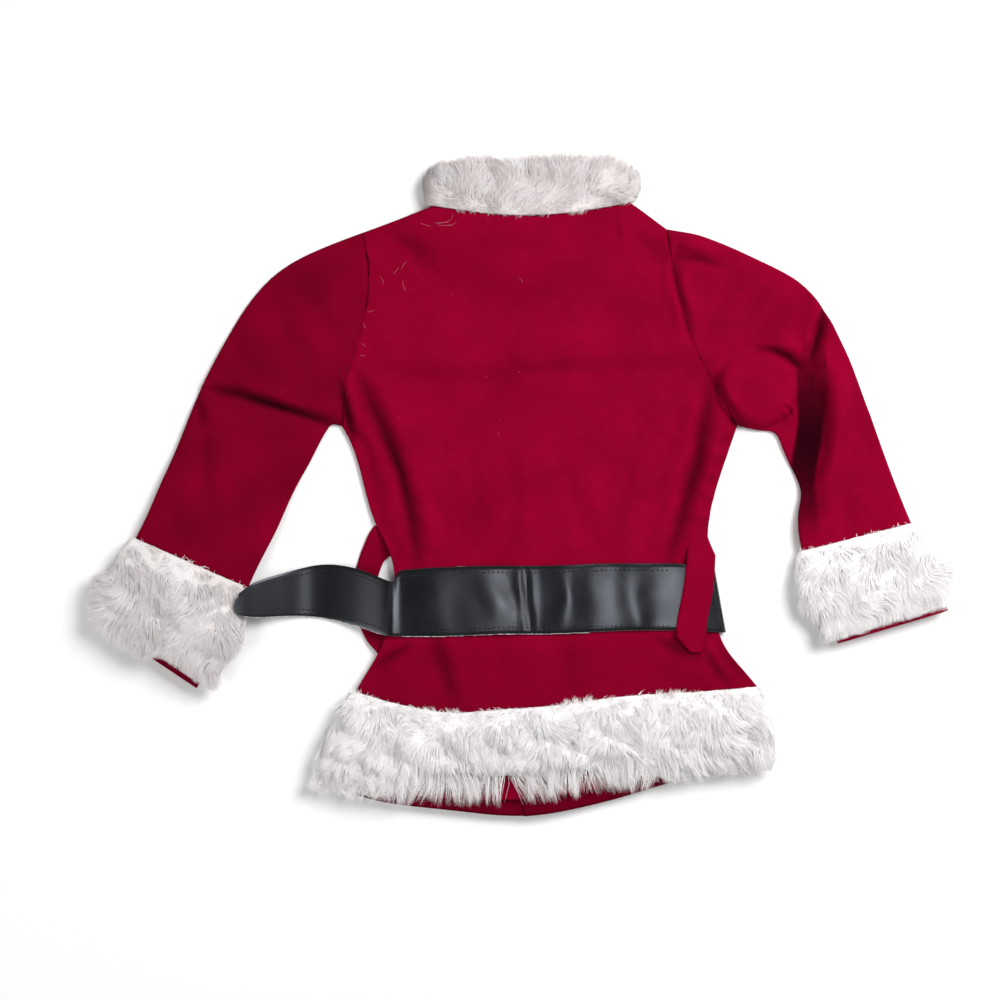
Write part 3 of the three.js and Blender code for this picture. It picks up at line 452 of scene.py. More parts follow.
def fold_shape(x, y, folds):
    """Rise in millimetres and painted shade of the cloth at points in plan, from a table of folds."""
    rise = np.zeros_like(x)
    shade = np.zeros_like(x)
    for k, fold in enumerate(folds):
        wander = soft_noise(x, y, seed=900 + k, waves=4, size=45.0)
        distance, share, side = near_path(x, y, fold["path"])
        fade = np.sin(math.pi * np.clip(share, 0.0, 1.0) * 0.86 + 0.22) ** 0.7
        reach = fold["width"] * (1.0 + 0.18 * wander)
        bottom = bell(distance / reach) * fade
        rise -= fold["deep"] * bottom
        shoulder = bell((distance - 1.9 * reach) / (1.5 * reach)) * fade
        if fold["side"]:
            shoulder = shoulder * smooth(side * fold["side"] * distance, -0.6 * reach, 0.9 * reach)
        rise += fold["crest"] * shoulder
        if fold.get("flat"):
            dimmed = (1.0 - smooth(distance, 0.75 * reach, 1.25 * reach)) * fade
        else:
            dimmed = bell(distance / (0.8 * reach)) * fade
        shade = np.maximum(shade, fold["dark"] * dimmed)
    return rise, shade


def swelling_share(x, y, swell):
    """1 at the middle of a swelling and 0 at its edge."""
    off = np.hypot((x - swell["at"][0]) / swell["across"], (y - swell["at"][1]) / swell["along"])
    return np.clip(1.0 - off ** swell["power"], 0.0, 1.0)


def swelling_shape(x, y):
    return sum(swell["high"] * swelling_share(x, y, swell) for swell in SWELLINGS)


ALL_FOLDS = BACK_FOLDS + LEFT_SLEEVE_FOLDS + RIGHT_SLEEVE_FOLDS


def limited(rise, deepest):
    return np.where(rise < 0, -deepest * np.tanh(-rise / deepest), rise)


def tree_of(mesh):
    """A mesh's faces for ray casts, also where its object is hidden."""
    bm = bmesh.new()
    bm.from_mesh(mesh)
    tree = BVHTree.FromBMesh(bm)
    bm.free()
    return tree


def near_piece(co, node, reach):
    """1 at another CAD piece, falling to 0 a few times reach away from it, for points in millimetres."""
    tree = tree_of(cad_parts[node].data)
    distance = np.array([tree.find_nearest(Vector(p) * MM)[3] for p in co]) / MM
    return bell(distance / reach)


def drawn_to(co, node, within, over=0.0):
    """Moves the points that lie this near another CAD piece up to it in plan, and over further, so that a
    seam is closed."""
    tree = tree_of(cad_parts[node].data)
    for p in co:
        place, _, _, distance = tree.find_nearest(Vector(p) * MM)
        if distance < within * MM:
            target = np.array(place)[:2] / MM
            way = target - p[:2]
            p[:2] = target + way * over / max(np.linalg.norm(way), 0.05)


def cloth_rise(x, y):
    """Rise and painted shade of the whole upper layer, the same for the back and the sleeves at the armholes.
    """
    rise, shade = fold_shape(x, y, ALL_FOLDS)
    rise = rise + swelling_shape(x, y)
    in_light = smooth(swelling_share(x, y, SWELLINGS[0]), 0.15, 0.6)
    shade = shade * (1.0 - 0.85 * in_light)
    broad = 0.60 * soft_noise(x, y, seed=5, waves=9, size=60.0)
    small = 0.18 * soft_noise(x, y, seed=6, waves=9, size=17.0)
    rise += broad + small
    return rise, shade


def near_folds(x, y):
    """Where the cloth needs finer cells: in and beside the sharper folds."""
    close = np.zeros(x.shape, dtype=bool)
    for fold in ALL_FOLDS:
        if fold["width"] < SHARP_FOLD:
            close |= near_path(x, y, fold["path"])[0] < 2.6 * fold["width"]
    return close


def everywhere(x, y):
    return np.ones(x.shape, dtype=bool)


def layer_share(obj, near):
    """Each vertex's share of the height between the lowest and the highest surface at its place. At the
    rim beside the piece called near, the place is moved a little into this piece."""
    tree = tree_of(obj.data)
    beside = tree_of(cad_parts[near].data)
    up, down = Vector((0, 0, 1)), Vector((0, 0, -1))
    shares = []
    for vertex in obj.data.vertices:
        x, y = vertex.co.x, vertex.co.y
        place, _, _, distance = beside.find_nearest(vertex.co)
        if distance < 2.0 * MM:
            away = Vector((x - place.x, y - place.y, 0)).normalized() * 2.0 * MM
            x, y = x + away.x, y + away.y
        low = tree.ray_cast(Vector((x, y, BELOW_ALL)), up)[0]
        high = tree.ray_cast(Vector((x, y, ABOVE_ALL)), down)[0]
        if low is None or high is None or high.z - low.z < 0.5 * MM:
            shares.append(0.5)
        else:
            shares.append((vertex.co.z - low.z) / (high.z - low.z))
    return np.array(shares)


def set_shade(mesh, values, name="painted_shade"):
    layer = mesh.attributes.new(name, "FLOAT", "POINT")
    layer.data.foreach_set("value", np.clip(values, 0.0, 1.0).astype(np.float32))


def side_seam_points():
    """The back panel's rims below the armpits, where it is sewn to the fronts, in millimetres."""
    co = points_of(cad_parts["back_panel"].data) / MM
    hem, armpit, step, depth = -262.0, 50.0, 4.0, 22.0
    keep = []
    for low in np.arange(hem, armpit, step):
        row = co[(co[:, 1] >= low) & (co[:, 1] < low + depth)]
        if len(row):
            keep.append(row[row[:, 0].argmin()])
            keep.append(row[row[:, 0].argmax()])
    return np.array(keep)


def nearest_tree(points):
    tree = KDTree(len(points))
    for k, p in enumerate(points):
        tree.insert(p, k)
    tree.balance()
    return tree


def distance_to(points, x, y):
    """Distance in plan from each place to the nearest of the points."""
    tree = nearest_tree([(p[0], p[1], 0.0) for p in points])
    return np.array([tree.find((a, b, 0.0))[2] for a, b in zip(x, y)])


def drape_back():
    obj = refined_copy("back_panel", "back_velvet")
    split_finer(obj, everywhere)
    split_finer(obj, near_folds, only_upper=False)
    co = points_of(obj.data) / MM
    seam = near_piece(co, "sleeve_left", 2.4) + near_piece(co, "sleeve_right", 2.4)
    for side in ("left", "right"):
        drawn_to(co, f"sleeve_{side}", 0.9, over=0.7)
    x, y = co[:, 0].copy(), co[:, 1].copy()
    rise, shade = cloth_rise(x, y)
    low, high = BELT_BAND
    off_belt = np.where(y > high, smooth(y, high - 2.0, high + 16.0), smooth(low - y, -2.0, 12.0))
    rise = limited(rise, DEEPEST)
    rise = np.where(rise > 0, rise * off_belt, rise)
    held = smooth(distance_to(side_seam_points(), x, y), 1.0, 14.0)
    neck = 1.0 - smooth(y, 214.0, 234.0)
    under_fur = smooth(y, -196.0, -176.0)
    co[:, 2] += rise * held * np.maximum(neck, 0.15) * under_fur - 0.12 * seam
    put_points(obj.data, co * MM)
    # Painted shade in the fold bottoms, and faintly along the armhole seams.
    set_shade(obj.data, np.maximum(shade, 0.04 * seam))
    # Darker on the skirt below the belt and a little towards the neck.
    set_shade(obj.data, 0.30 * smooth(-y, 120.0, 150.0) + 0.10 * smooth(y, 150.0, 230.0), "nap")
    return finish_piece(obj, velvet, "velvet", "back_panel")


def drape_sleeve(side):
    obj = refined_copy(f"sleeve_{side}", f"sleeve_{side}_velvet")
    split_finer(obj, everywhere)
    split_finer(obj, near_folds, only_upper=False)
    share = layer_share(obj, "back_panel")
    co = points_of(obj.data) / MM
    x, y = co[:, 0], co[:, 1]
    rise, shade = cloth_rise(x, y)
    seam = near_piece(co, "back_panel", 2.4)
    near_back = near_piece(co, "back_panel", 16.0)
    rise = limited(rise, DEEPEST_SLEEVE) * (1.0 - near_back) + limited(rise, DEEPEST) * near_back
    top = smooth(share, 0.30, 0.62)
    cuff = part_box(f"cuff_fur_{side}")[1].y / MM
    clear_of_cuff = np.maximum(smooth(y, cuff - 30.0, cuff + 8.0), 0.1)
    co[:, 2] += rise * top * clear_of_cuff - 0.12 * seam * top
    if side == "left":
        at_corner = smooth(-x, 336.0, 360.0) * smooth(-y, 92.0, 110.0)
        co[:, :2] += at_corner[:, None] * np.array([7.0, 4.0])
    put_points(obj.data, co * MM)
    # Painted shade in the fold bottoms, and faintly along the armhole seam.
    set_shade(obj.data, np.maximum(shade * clear_of_cuff, 0.04 * seam) * top)
    # The left sleeve is darker: partly its nap, partly painted shade on the side away from the key light.
    if side == "left":
        nap = 0.42 + 0.12 * soft_noise(x, y, seed=83, waves=5, size=70.0)
    else:
        nap = 0.10 * smooth(y, 120.0, 200.0)
    set_shade(obj.data, nap, "nap")
    return finish_piece(obj, velvet, "velvet", f"sleeve_{side}")


def plain_velvet(node, tone=0.25):
    obj = refined_copy(node, node + "_velvet")
    co = points_of(obj.data) / MM
    if node == "belt_loop_left":
        upper_end = 8.0 * smooth(co[:, 1], -64.0, -52.0)
        lower_end = 5.0 * (1.0 - smooth(co[:, 1], -132.0, -122.0))
        co[:, 0] += np.maximum(upper_end, lower_end) * smooth(co[:, 0], -136.0, -126.0)
        put_points(obj.data, co * MM)
    # Painted shadow: the fronts' lower ends are darkened where the hem's fur shades them.
    set_shade(obj.data, np.where(co[:, 2] > 1.0, 0.42 * smooth(-co[:, 1], 225.0, 245.0), 0.0))
    set_shade(obj.data, np.full(len(co), tone), "nap")
    return finish_piece(obj, velvet, "velvet", node)


# ---------- Fur ----------

def surface_samples(obj, count, rng, keep):
    """Random points on a mesh, with their normals: even by area, times what keep(normal, centre) gives for
    each face."""
    mesh = obj.data
    mesh.calc_loop_triangles()
    tri = np.empty(len(mesh.loop_triangles) * 3, dtype=np.int32)
    mesh.loop_triangles.foreach_get("vertices", tri)
    co = points_of(mesh) / MM
    corners = co[tri.reshape(-1, 3)]
    cross = np.cross(corners[:, 1] - corners[:, 0], corners[:, 2] - corners[:, 0])
    area = np.linalg.norm(cross, axis=1) / 2
    normal = cross / np.maximum(2 * area, 1e-9)[:, None]
    weight = area * keep(normal, corners.mean(axis=1))
    chosen = rng.choice(len(area), count, p=weight / weight.sum())
    a, b = rng.random(count), rng.random(count)
    flip = a + b > 1
    a, b = np.where(flip, 1 - a, a), np.where(flip, 1 - b, b)
    c = corners[chosen]
    place = c[:, 0] + a[:, None] * (c[:, 1] - c[:, 0]) + b[:, None] * (c[:, 2] - c[:, 0])
    return place, normal[chosen]


def unit(v):
    return v / np.maximum(np.linalg.norm(v, axis=1), 1e-9)[:, None]


def nearest_index(points, targets):
    tree = nearest_tree(targets)
    return np.array([tree.find(p)[1] for p in points])


def towards_up(normal, share):
    """Normals turned up by a share, where they don't face down."""
    mostly = smooth(normal[:, 2], -0.6, 0.0)[:, None] * share
    return unit(normal * (1.0 - mostly) + np.array([0.0, 0.0, 1.0]) * mostly)


def strand_curve(root, normal, nap, length, stand, steps):
    """Points on each strand: it leaves the skin partly along its normal and bends over into the nap."""
    flat = unit(nap - (nap * normal).sum(axis=1)[:, None] * normal)
    curve = []
    for s in steps:
        up = stand * (s - 0.55 * s * s)
        along = (1 - 0.5 * stand) * (0.55 * s + 0.45 * s * s)
        curve.append(root + length[:, None] * (normal * up[:, None] + flat * along[:, None]))
    return curve


def fur_strands(
    name, skin, seed, count, tufts, length, width, nap_field, keep,
    stand=0.26, gather=0.35, reach=None, flatten=0.0, painted_fur_shade=None,
):
    """One mesh of fine tapered strands. Each strand leans to the tip of its own tuft. reach(root, tip,
    tone) gives how much of each strand is kept."""
    rng = np.random.default_rng(seed)
    steps = (0.0, 0.5, 1.0)
    guide_root, guide_normal = surface_samples(skin, tufts, rng, keep)
    guide_normal = towards_up(guide_normal, flatten)
    guide_nap, guide_length = nap_field(guide_root, guide_normal, rng)
    guide_stand = np.clip(rng.normal(stand, 0.08, tufts), 0.05, 1.1)
    guides = strand_curve(guide_root, guide_normal, guide_nap, length * guide_length, guide_stand, steps)
    root, normal = surface_samples(skin, count, rng, keep)
    normal = towards_up(normal, flatten)
    own = nearest_index(root, guide_root)
    nap, scale = nap_field(root, normal, rng)
    nap = unit(nap + rng.normal(0, 0.18, nap.shape))
    lengths = length * scale * rng.uniform(0.72, 1.12, count)
    stands = np.clip(guide_stand[own] + rng.normal(0, 0.08, count), 0.03, 1.2)
    curve = strand_curve(root, normal, nap, lengths, stands, steps)
    pull = gather * rng.uniform(0.55, 1.0, count)
    for k, s in enumerate(steps):
        curve[k] = curve[k] + (guides[k][own] - curve[k]) * (pull * s ** 1.3)[:, None]
    tone = rng.random(tufts)[own]
    if reach is not None:
        kept = reach(root, curve[-1], tone)[:, None]
        curve = [root + (points - root) * kept for points in curve]
    aside = unit(np.cross(unit(curve[2] - curve[0]), rng.normal(0, 0.5, root.shape) + np.array([0, 0, 1.0])))
    aside = aside * np.where(normal[:, 2:3] < -0.3, -1.0, 1.0)
    half = (width / 2) * rng.uniform(0.7, 1.3, count)[:, None]
    low = curve[0] - 1.5 * normal
    middle_half = aside * half * 0.75
    corners = [
        low - aside * half, low + aside * half, curve[1] - middle_half, curve[1] + middle_half, curve[2],
    ]
    co = np.stack(corners, axis=1).reshape(-1, 3) * MM
    co[:, 2] = np.maximum(co[:, 2], 0.1 * MM)
    first = np.arange(count) * len(corners)
    quads = np.stack([first, first + 1, first + 3, first + 2], axis=1)
    tips = np.stack([first + 2, first + 3, first + 4], axis=1)
    loops = np.concatenate([quads.ravel(), tips.ravel()]).astype(np.int32)
    starts = np.concatenate([np.arange(count) * 4, count * 4 + np.arange(count) * 3]).astype(np.int32)
    mesh = bpy.data.meshes.new(name)
    mesh.vertices.add(len(co))
    mesh.vertices.foreach_set("co", co.ravel())
    mesh.loops.add(len(loops))
    mesh.loops.foreach_set("vertex_index", loops)
    mesh.polygons.add(len(starts))
    mesh.polygons.foreach_set("loop_start", starts)
    mesh.update(calc_edges=True)
    mesh.shade_smooth()
    soft = unit(normal + rng.normal(0, 0.16, normal.shape))
    mesh.normals_split_custom_set_from_vertices(np.repeat(soft, len(corners), axis=0).tolist())
    set_shade(mesh, np.tile([0.0, 0.0, 0.5, 0.5, 1.0], count), "along")
    tone = np.clip(tone * 0.6 + rng.random(count) * 0.4, 0, 1)
    set_shade(mesh, np.repeat(tone, len(corners)), "tuft")
    dimmed = np.zeros(count) if painted_fur_shade is None else painted_fur_shade(root[:, 0], root[:, 1])
    set_shade(mesh, np.repeat(dimmed, len(corners)), "painted_fur_shade")
    return finish_piece(new_object(name, mesh), pile_finish, "fur")


def lower_rim(node):
    """The lowest y of a CAD piece at any x, as a function, in millimetres."""
    co = points_of(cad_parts[node].data) / MM
    places = np.arange(co[:, 0].min() + 4.0, co[:, 0].max() - 3.0, 12.0)
    lowest = [co[np.abs(co[:, 0] - place) < 13.0, 1].min() for place in places]
    return lambda x: np.interp(x, places, lowest)


def under_tongue(x, y):
    """1 where the belt's tongue lies on the left cuff."""
    return smooth(x, -254.0, -247.0) * smooth(y, -119.0, -113.0) * (1.0 - smooth(y, -86.0, -80.0))


def bare(x):
    """1 where the back hem's fur thins out over the red hem behind it, and 0 at the sides."""
    return smooth(x, -135.0, -70.0) * (1.0 - smooth(x, 70.0, 130.0))


def fur_skin(node, shrink, seed, lumps=1.5, sewn=(0.0, 0.0), painted_fur_shade=None):
    """The fur's lumpy body, a little inside the CAD slab so that the strands stand out to its reach. It
    keeps the slab's edge on the side called sewn, a direction in plan."""
    obj = refined_copy(node, node + "_skin", sharp=0.0)
    mesh = obj.data
    co = points_of(mesh) / MM
    normals = normals_of(mesh)
    relief = soft_noise(co[:, 0] + co[:, 2], co[:, 1], seed=seed, waves=10, size=26.0)
    relief = relief + 0.5 * soft_noise(co[:, 0], co[:, 1], seed=seed + 500, waves=10, size=11.0)
    outward = np.clip(normals[:, 2], 0.0, 1.0)
    kept = np.clip(normals[:, 0] * sewn[0] + normals[:, 1] * sewn[1], 0.0, 1.0)
    co += normals * (-shrink * (1.0 - kept) + lumps * relief * outward)[:, None]
    if node == "cuff_fur_left":
        co[:, 2] -= 3.0 * under_tongue(co[:, 0], co[:, 1]) * smooth(co[:, 2], 12.0, 16.0)
    if node == "hem_fur_back":
        rim = lower_rim(node)(co[:, 0])
        co[:, 1] += (6.0 + 21.0 * bare(co[:, 0])) * (1.0 - smooth(co[:, 1] - rim, 0.0, 50.0))
    if node == "collar_fur":
        co[:, 1] -= 1.3 * smooth(-normals[:, 1], 0.3, 0.8)
    co[:, 2] = np.maximum(co[:, 2], 0.5)
    put_points(mesh, co * MM)
    set_shade(mesh, np.zeros(len(co)) if painted_fur_shade is None else painted_fur_shade(co[:, 0], co[:, 1]), "painted_fur_shade")
    return finish_piece(obj, skin_finish, "fur", node)


def turned(nap, degrees):
    turn = np.radians(degrees)
    cos, sin = np.cos(turn), np.sin(turn)
    return np.stack([nap[:, 0] * cos - nap[:, 1] * sin, nap[:, 0] * sin + nap[:, 1] * cos, nap[:, 2]], axis=1)


# The seam between the skirt and the hem's fur, as places in plan.
HEM_SEAM = [
    (-146, -173), (-107, -184), (-65, -191), (-22, -188), (29, -184), (80, -177), (148, -173), (196, -169),
]
FRINGE_GAP = -17.0               # x of the gap in the fringe


def hem_seam(x):
    return np.interp(x, *zip(*HEM_SEAM))


def hem_nap(root, normal, rng):
    """The hem's nap runs down to the fringe, swirled, and crosses the seam in short hairs."""
    x, y = root[:, 0], root[:, 1]
    nap = np.tile([0.0, -1.0, 0.0], (len(root), 1))
    nap[:, 0] = 0.55 * np.tanh((x - 15.0) / 150.0)
    swirl = 40.0 * soft_noise(x, y, seed=31, waves=6, size=52.0) + rng.normal(0, 10.0, len(root))
    at_seam = 1.0 - smooth(hem_seam(x) - y, 1.0, 12.0)
    patchy = smooth(soft_noise(x, y, seed=35, waves=5, size=40.0), -0.2, 0.8)
    astray = rng.normal(0, 70.0, len(root))
    crossing = 140.0 * patchy * np.sign(rng.normal(0, 1, len(root)))
    swirl = swirl + at_seam * (astray + crossing)
    return turned(nap, swirl), 1.0 - 0.5 * at_seam


hem_rim = lower_rim("hem_fur_back")


def kept_above(limit, root, tip, least):
    """How much of each strand is kept, so that its tip stays above y = limit: never less than least."""
    share = (root[:, 1] - limit) / np.maximum(root[:, 1] - tip[:, 1], 0.1)
    return np.where(tip[:, 1] < limit, np.clip(share, least, 1.0), 1.0)


def hem_reach(root, tip, tone):
    """Keeps the strands on the back hem to its edge, which is higher where the red hem shows."""
    gap = 9.0 * bell((tip[:, 0] - FRINGE_GAP) / 13.0)
    limit = hem_rim(tip[:, 0]) + bare(tip[:, 0]) * (22.0 + 8.0 * (1.0 - tone) + gap) + 4.0 * (1.0 - tone)
    return kept_above(limit, root, tip, 0.1)


def hem_roots(normal, centre):
    above = centre[:, 1] - hem_rim(centre[:, 0])
    on_fur = np.where(above > 24.0 * bare(centre[:, 0]), 1.0, 0.0)
    return upper_side(normal, centre) * on_fur * (1.0 - 0.9 * smooth(normal[:, 1], 0.35, 0.75))


def fringe_reach(root, tip, tone):
    limit = hem_rim(tip[:, 0]) + 12.0 * (1.0 - tone) ** 2 - 4.0
    return kept_above(limit, root, tip, 0.3)


def front_reach(node):
    """The fronts' fur stays inside their hem."""
    rim = lower_rim(node)

    def reach(root, tip, tone):
        return kept_above(rim(tip[:, 0]) + 2.5, root, tip, 0.2)
    return reach


def fringe_nap(root, normal, rng):
    x, y = root[:, 0], root[:, 1]
    nap = np.tile([0.0, -1.0, 0.0], (len(root), 1))
    nap[:, 0] = 0.30 * np.tanh((x + 40.0) / 120.0)
    swirl = 24.0 * soft_noise(x, y, seed=38, waves=5, size=24.0) + rng.normal(0, 7.0, len(root))
    return turned(nap, swirl), np.ones(len(root))


def fringe_roots(normal, centre):
    """The fringe's spikes grow from the lowest part of the upper side, and few of them in its gap."""
    above = centre[:, 1] - hem_rim(centre[:, 0])
    few = 1.0 - 0.85 * bell((centre[:, 0] - FRINGE_GAP) / 10.0)
    return np.where((normal[:, 2] > -0.5) & (above < 38.0), few, 0.0) * (0.25 + bare(centre[:, 0]))


# The seam and the lower end of each cuff in plan, each from its outer to its inner corner. The sleeve's
# end shows past the fur from the share called shows, counted from the outer corner. way is where its nap
# runs, sewn where its seam faces, and seed is for its swirls.
CUFFS = {
    "left": dict(
        seam=((-332, -43), (-236, -85)), end=((-360, -117), (-278, -170)), shows=0.5,
        way=(-0.55, -1, 0), sewn=(0.40, 0.92), seed=61,
    ),
    "right": dict(
        seam=((327, -30), (234, -54)), end=((358, -105), (266, -132)), shows=0.0,
        way=(0.35, -1, 0), sewn=(-0.25, 0.97), seed=67,
    ),
}


def past_line(line, x, y):
    """How far a place lies down the sleeve from a line across it, and its share of the way along the line."""
    (ax, ay), (bx, by) = line
    length = math.dist((ax, ay), (bx, by))
    ux, uy = (bx - ax) / length, (by - ay) / length
    turn = 1.0 if ux > 0 else -1.0
    return ((x - ax) * uy - (y - ay) * ux) * turn, ((x - ax) * ux + (y - ay) * uy) / length


def cuff_reach(side):
    """Where the sleeve's end shows, the strands stop near the end of the fur, and elsewhere they hide it."""
    cuff = CUFFS[side]

    def reach(root, tip, tone):
        beyond, share = past_line(cuff["end"], tip[:, 0], tip[:, 1])
        start = past_line(cuff["end"], root[:, 0], root[:, 1])[0]
        shows = smooth(share, cuff["shows"] - 0.08, cuff["shows"] + 0.08)
        limit = 9.0 - 12.0 * shows + 3.0 * (tone - 0.5)
        kept = (limit - start) / np.maximum(beyond - start, 0.1)
        return np.where(beyond > limit, np.clip(kept, 0.25, 1.0), 1.0)
    return reach


def cuff_nap(side):
    """A cuff's nap runs down to its end, parted and swirled, with some hairs back over the seam."""
    cuff = CUFFS[side]

    def field(root, normal, rng):
        x, y = root[:, 0], root[:, 1]
        nap = np.tile(cuff["way"], (len(root), 1)).astype(float)
        below = past_line(cuff["seam"], x, y)[0]
        above_end, share = past_line(cuff["end"], x, y)
        at_seam = 1.0 - smooth(below, 1.0, 9.0)
        at_end = smooth(above_end, -20.0, -8.0)
        hides = at_end * (1.0 - smooth(share, cuff["shows"] - 0.1, cuff["shows"] + 0.1))
        swirl = 46.0 * soft_noise(x, y, seed=cuff["seed"], waves=6, size=38.0)
        swirl = swirl + rng.normal(0, 10.0, len(root))
        patchy = smooth(soft_noise(x, y, seed=cuff["seed"] + 3, waves=5, size=34.0), 0.0, 0.8)
        back = (rng.random(len(root)) < 0.02 + 0.12 * patchy) * at_seam
        swirl = swirl * (1.0 - 0.6 * hides) + back * (180.0 + rng.normal(0, 40.0, len(root)))
        return turned(nap, swirl), 1.0 - 0.35 * at_seam + 0.75 * hides
    return field


def cuff_roots(side):
    """Few strands grow from the seam's wall, and none from the faces inside the cuff."""
    aside = CUFFS[side]["sewn"]

    def keep(normal, centre):
        at_wall = smooth(normal[:, 0] * aside[0] + normal[:, 1] * aside[1], 0.3, 0.7)
        under_top_layer = (normal[:, 2] < -0.15) & (centre[:, 2] > 4.5)
        on_lower_layer = (normal[:, 2] > 0.3) & (centre[:, 2] < 6.0)
        inside = under_top_layer | on_lower_layer
        weight = all_round(normal, centre) * (1.0 - 0.95 * at_wall) * np.where(inside, 0.0, 1.0)
        if side == "left":
            weight = weight * (1.0 - under_tongue(centre[:, 0], centre[:, 1]) * (normal[:, 2] > 0))
        return weight
    return keep


# Painted shade for the left cuff's fur, on the side away from the key light.
def left_cuff_painted_shade(x, y):
    return 0.42 + 0.10 * soft_noise(x, y, seed=71, waves=5, size=40.0)


# Painted shade for the collar's fur, which is greyer than the rest.
def collar_painted_shade(x, y):
    return 0.60 + 0.16 * soft_noise(x, y, seed=73, waves=5, size=30.0)


def collar_nap(root, normal, rng):
    x, y = root[:, 0], root[:, 1]
    nap = np.tile([0.25, 1.0, 0.0], (len(root), 1))
    nap[:, 0] += 0.9 * np.tanh((x - 5.0) / 60.0)
    swirl = 48.0 * soft_noise(x, y, seed=47, waves=6, size=34.0) + rng.normal(0, 12.0, len(root))
    seam = 233.0 + 8.0 * ((x - 5.0) / 83.0) ** 2
    at_seam = 1.0 - smooth(y - seam, 1.0, 9.0)
    over = (rng.random(len(root)) < 0.35) * at_seam
    swirl = swirl + over * (180.0 + rng.normal(0, 40.0, len(root)))
    return turned(nap, swirl), 1.0 - 0.60 * at_seam + 0.15 * rng.random(len(root))


def upper_side(normal, centre):
    return np.where(normal[:, 2] > -0.15, 1.0, 0.0)


def all_round(normal, centre):
    return np.where(normal[:, 2] > -0.15, 1.0, 0.2)


def collar_roots(normal, centre):
    return all_round(normal, centre) * (1.0 - 0.9 * smooth(-normal[:, 1], 0.4, 0.8))


def under_side(normal, centre):
    return np.where(normal[:, 2] < 0.35, 1.0, 0.0)


# ---------- Belt ----------

# The strap's waves where it lies on the back, which its reflections come from, and its two creases.
BELT_WAVES = fold_table(
    (13, -1.7, 0.0, 0, 0.0, [(31, -60), (36, -95), (30, -130)]),
    (13, -1.4, 0.0, 0, 0.0, [(92, -60), (90, -92), (98, -130)]),
    (16, -0.6, 0.0, 0, 0.0, [(-34, -60), (-24, -95), (-28, -130)]),
    (14, -0.5, 0.0, 0, 0.0, [(-76, -60), (-80, -95), (-74, -130)]),
    (2.2, 0.7, 0.5, 0, 0.35, [(-2, -62), (0, -88), (4, -130)]),
    (7.0, 0.3, 0.2, 0, 0.45, [(-30, -66), (-12, -92), (6, -118)]),
)
STITCH = 2.7                     # length of one stitch
STITCH_STEP = 4.0                # from one stitch to the next
STITCH_INSET = 5.4               # from the strap's edge
STRAP_SCAN = (-134.0, -58.0)     # y between which the strap's edges are looked for
BELT_RUN = (-108.0, 132.0)       # x of the part that lies on the back


def belt_strap():
    obj = refined_copy("belt_strap", "belt", levels=3, sharp=0.8)
    mesh = obj.data
    co = points_of(mesh) / MM
    x, y, z = co.T
    rise, shade = fold_shape(x, y, BELT_WAVES)
    on_back = smooth(x, BELT_RUN[0], BELT_RUN[0] + 14.0) * (1.0 - smooth(x, 116.0, BELT_RUN[1])) * (z > 6.0)
    co[:, 2] += np.maximum(rise, -0.1) * on_back
    put_points(mesh, co * MM)
    ny = normals_of(mesh)[:, 1]
    # Painted highlight: the rims facing the hem are lightened, and the upper rim a little.
    set_shade(mesh, np.clip(-1.3 * ny - 0.25, 0, 1) + 0.35 * np.clip(ny - 0.4, 0, 1), "painted_rim_highlight")
    at_step = bell((x + 117.0 - 0.11 * (y + 100.0)) / 4.5) * (z > 4.0)
    by_loop = smooth(x, 112.0, 126.0) * (z > 6.0)
    on_tongue = 0.45 * (1.0 - smooth(x, -122.0, -112.0))
    set_shade(mesh, np.maximum.reduce([shade * on_back, 0.6 * at_step, 0.3 * by_loop, on_tongue]), "shade")
    return finish_piece(obj, leather, "belt_leather", "belt_strap")


def top_of(tree, x, y):
    """Height of the highest surface at a place in millimetres, or None beside it."""
    hit = tree.ray_cast(Vector((x * MM, y * MM, ABOVE_ALL)), Vector((0, 0, -1)))[0]
    return None if hit is None else hit.z / MM


def stitch_line(tree, places, inset, lower):
    """Points along one of the strap's long edges, on its upper face, inset from it."""
    line = []
    for x in places:
        ys = [y for y in np.arange(*STRAP_SCAN, 0.5) if top_of(tree, x, y) is not None]
        if not ys or ys[-1] - ys[0] < 3.4 * inset:
            continue
        y = ys[0] + inset if lower else ys[-1] - inset
        line.append(Vector((x, y, top_of(tree, x, y))))
    return line


def along_line(line, distance):
    for a, b in zip(line, line[1:]):
        step = (b - a).length
        if distance <= step:
            return a.lerp(b, distance / step)
        distance -= step
    return line[-1].copy()


def piece_from(bm, name, material, slot, soft=True):
    """A new visible piece from a bmesh, which is freed."""
    mesh = bpy.data.meshes.new(name)
    bm.to_mesh(mesh)
    bm.free()
    if soft:
        mesh.shade_smooth()
    return finish_piece(new_object(name, mesh), material, slot)


def belt_stitches(strap):
    """Small raised stitches along both edges of the strap, as one piece."""
    tree = tree_of(strap.data)
    bm = bmesh.new()
    tongue = np.arange(-226.0, -119.0, 3.0)
    run = np.arange(-105.0, 126.0, 3.0)
    for places in (tongue, run):
        for lower in (True, False):
            line = stitch_line(tree, places, STITCH_INSET, lower)
            total = sum((b - a).length for a, b in zip(line, line[1:]))
            for start in np.arange(0.5, total - STITCH, STITCH_STEP):
                a, b = along_line(line, start), along_line(line, start + STITCH)
                way = (b - a).to_track_quat("X", "Z").to_matrix().to_4x4()
                size = Matrix.Diagonal((STITCH / 2, 0.66, 0.40, 1.0))
                place = Matrix.Translation((a + b) / 2 + Vector((0, 0, 0.06)))
                bmesh.ops.create_icosphere(
                    bm, subdivisions=1, radius=1.0, matrix=Matrix.Scale(MM, 4) @ place @ way @ size,
                )
    return piece_from(bm, "belt_stitches", thread, "belt_leather")


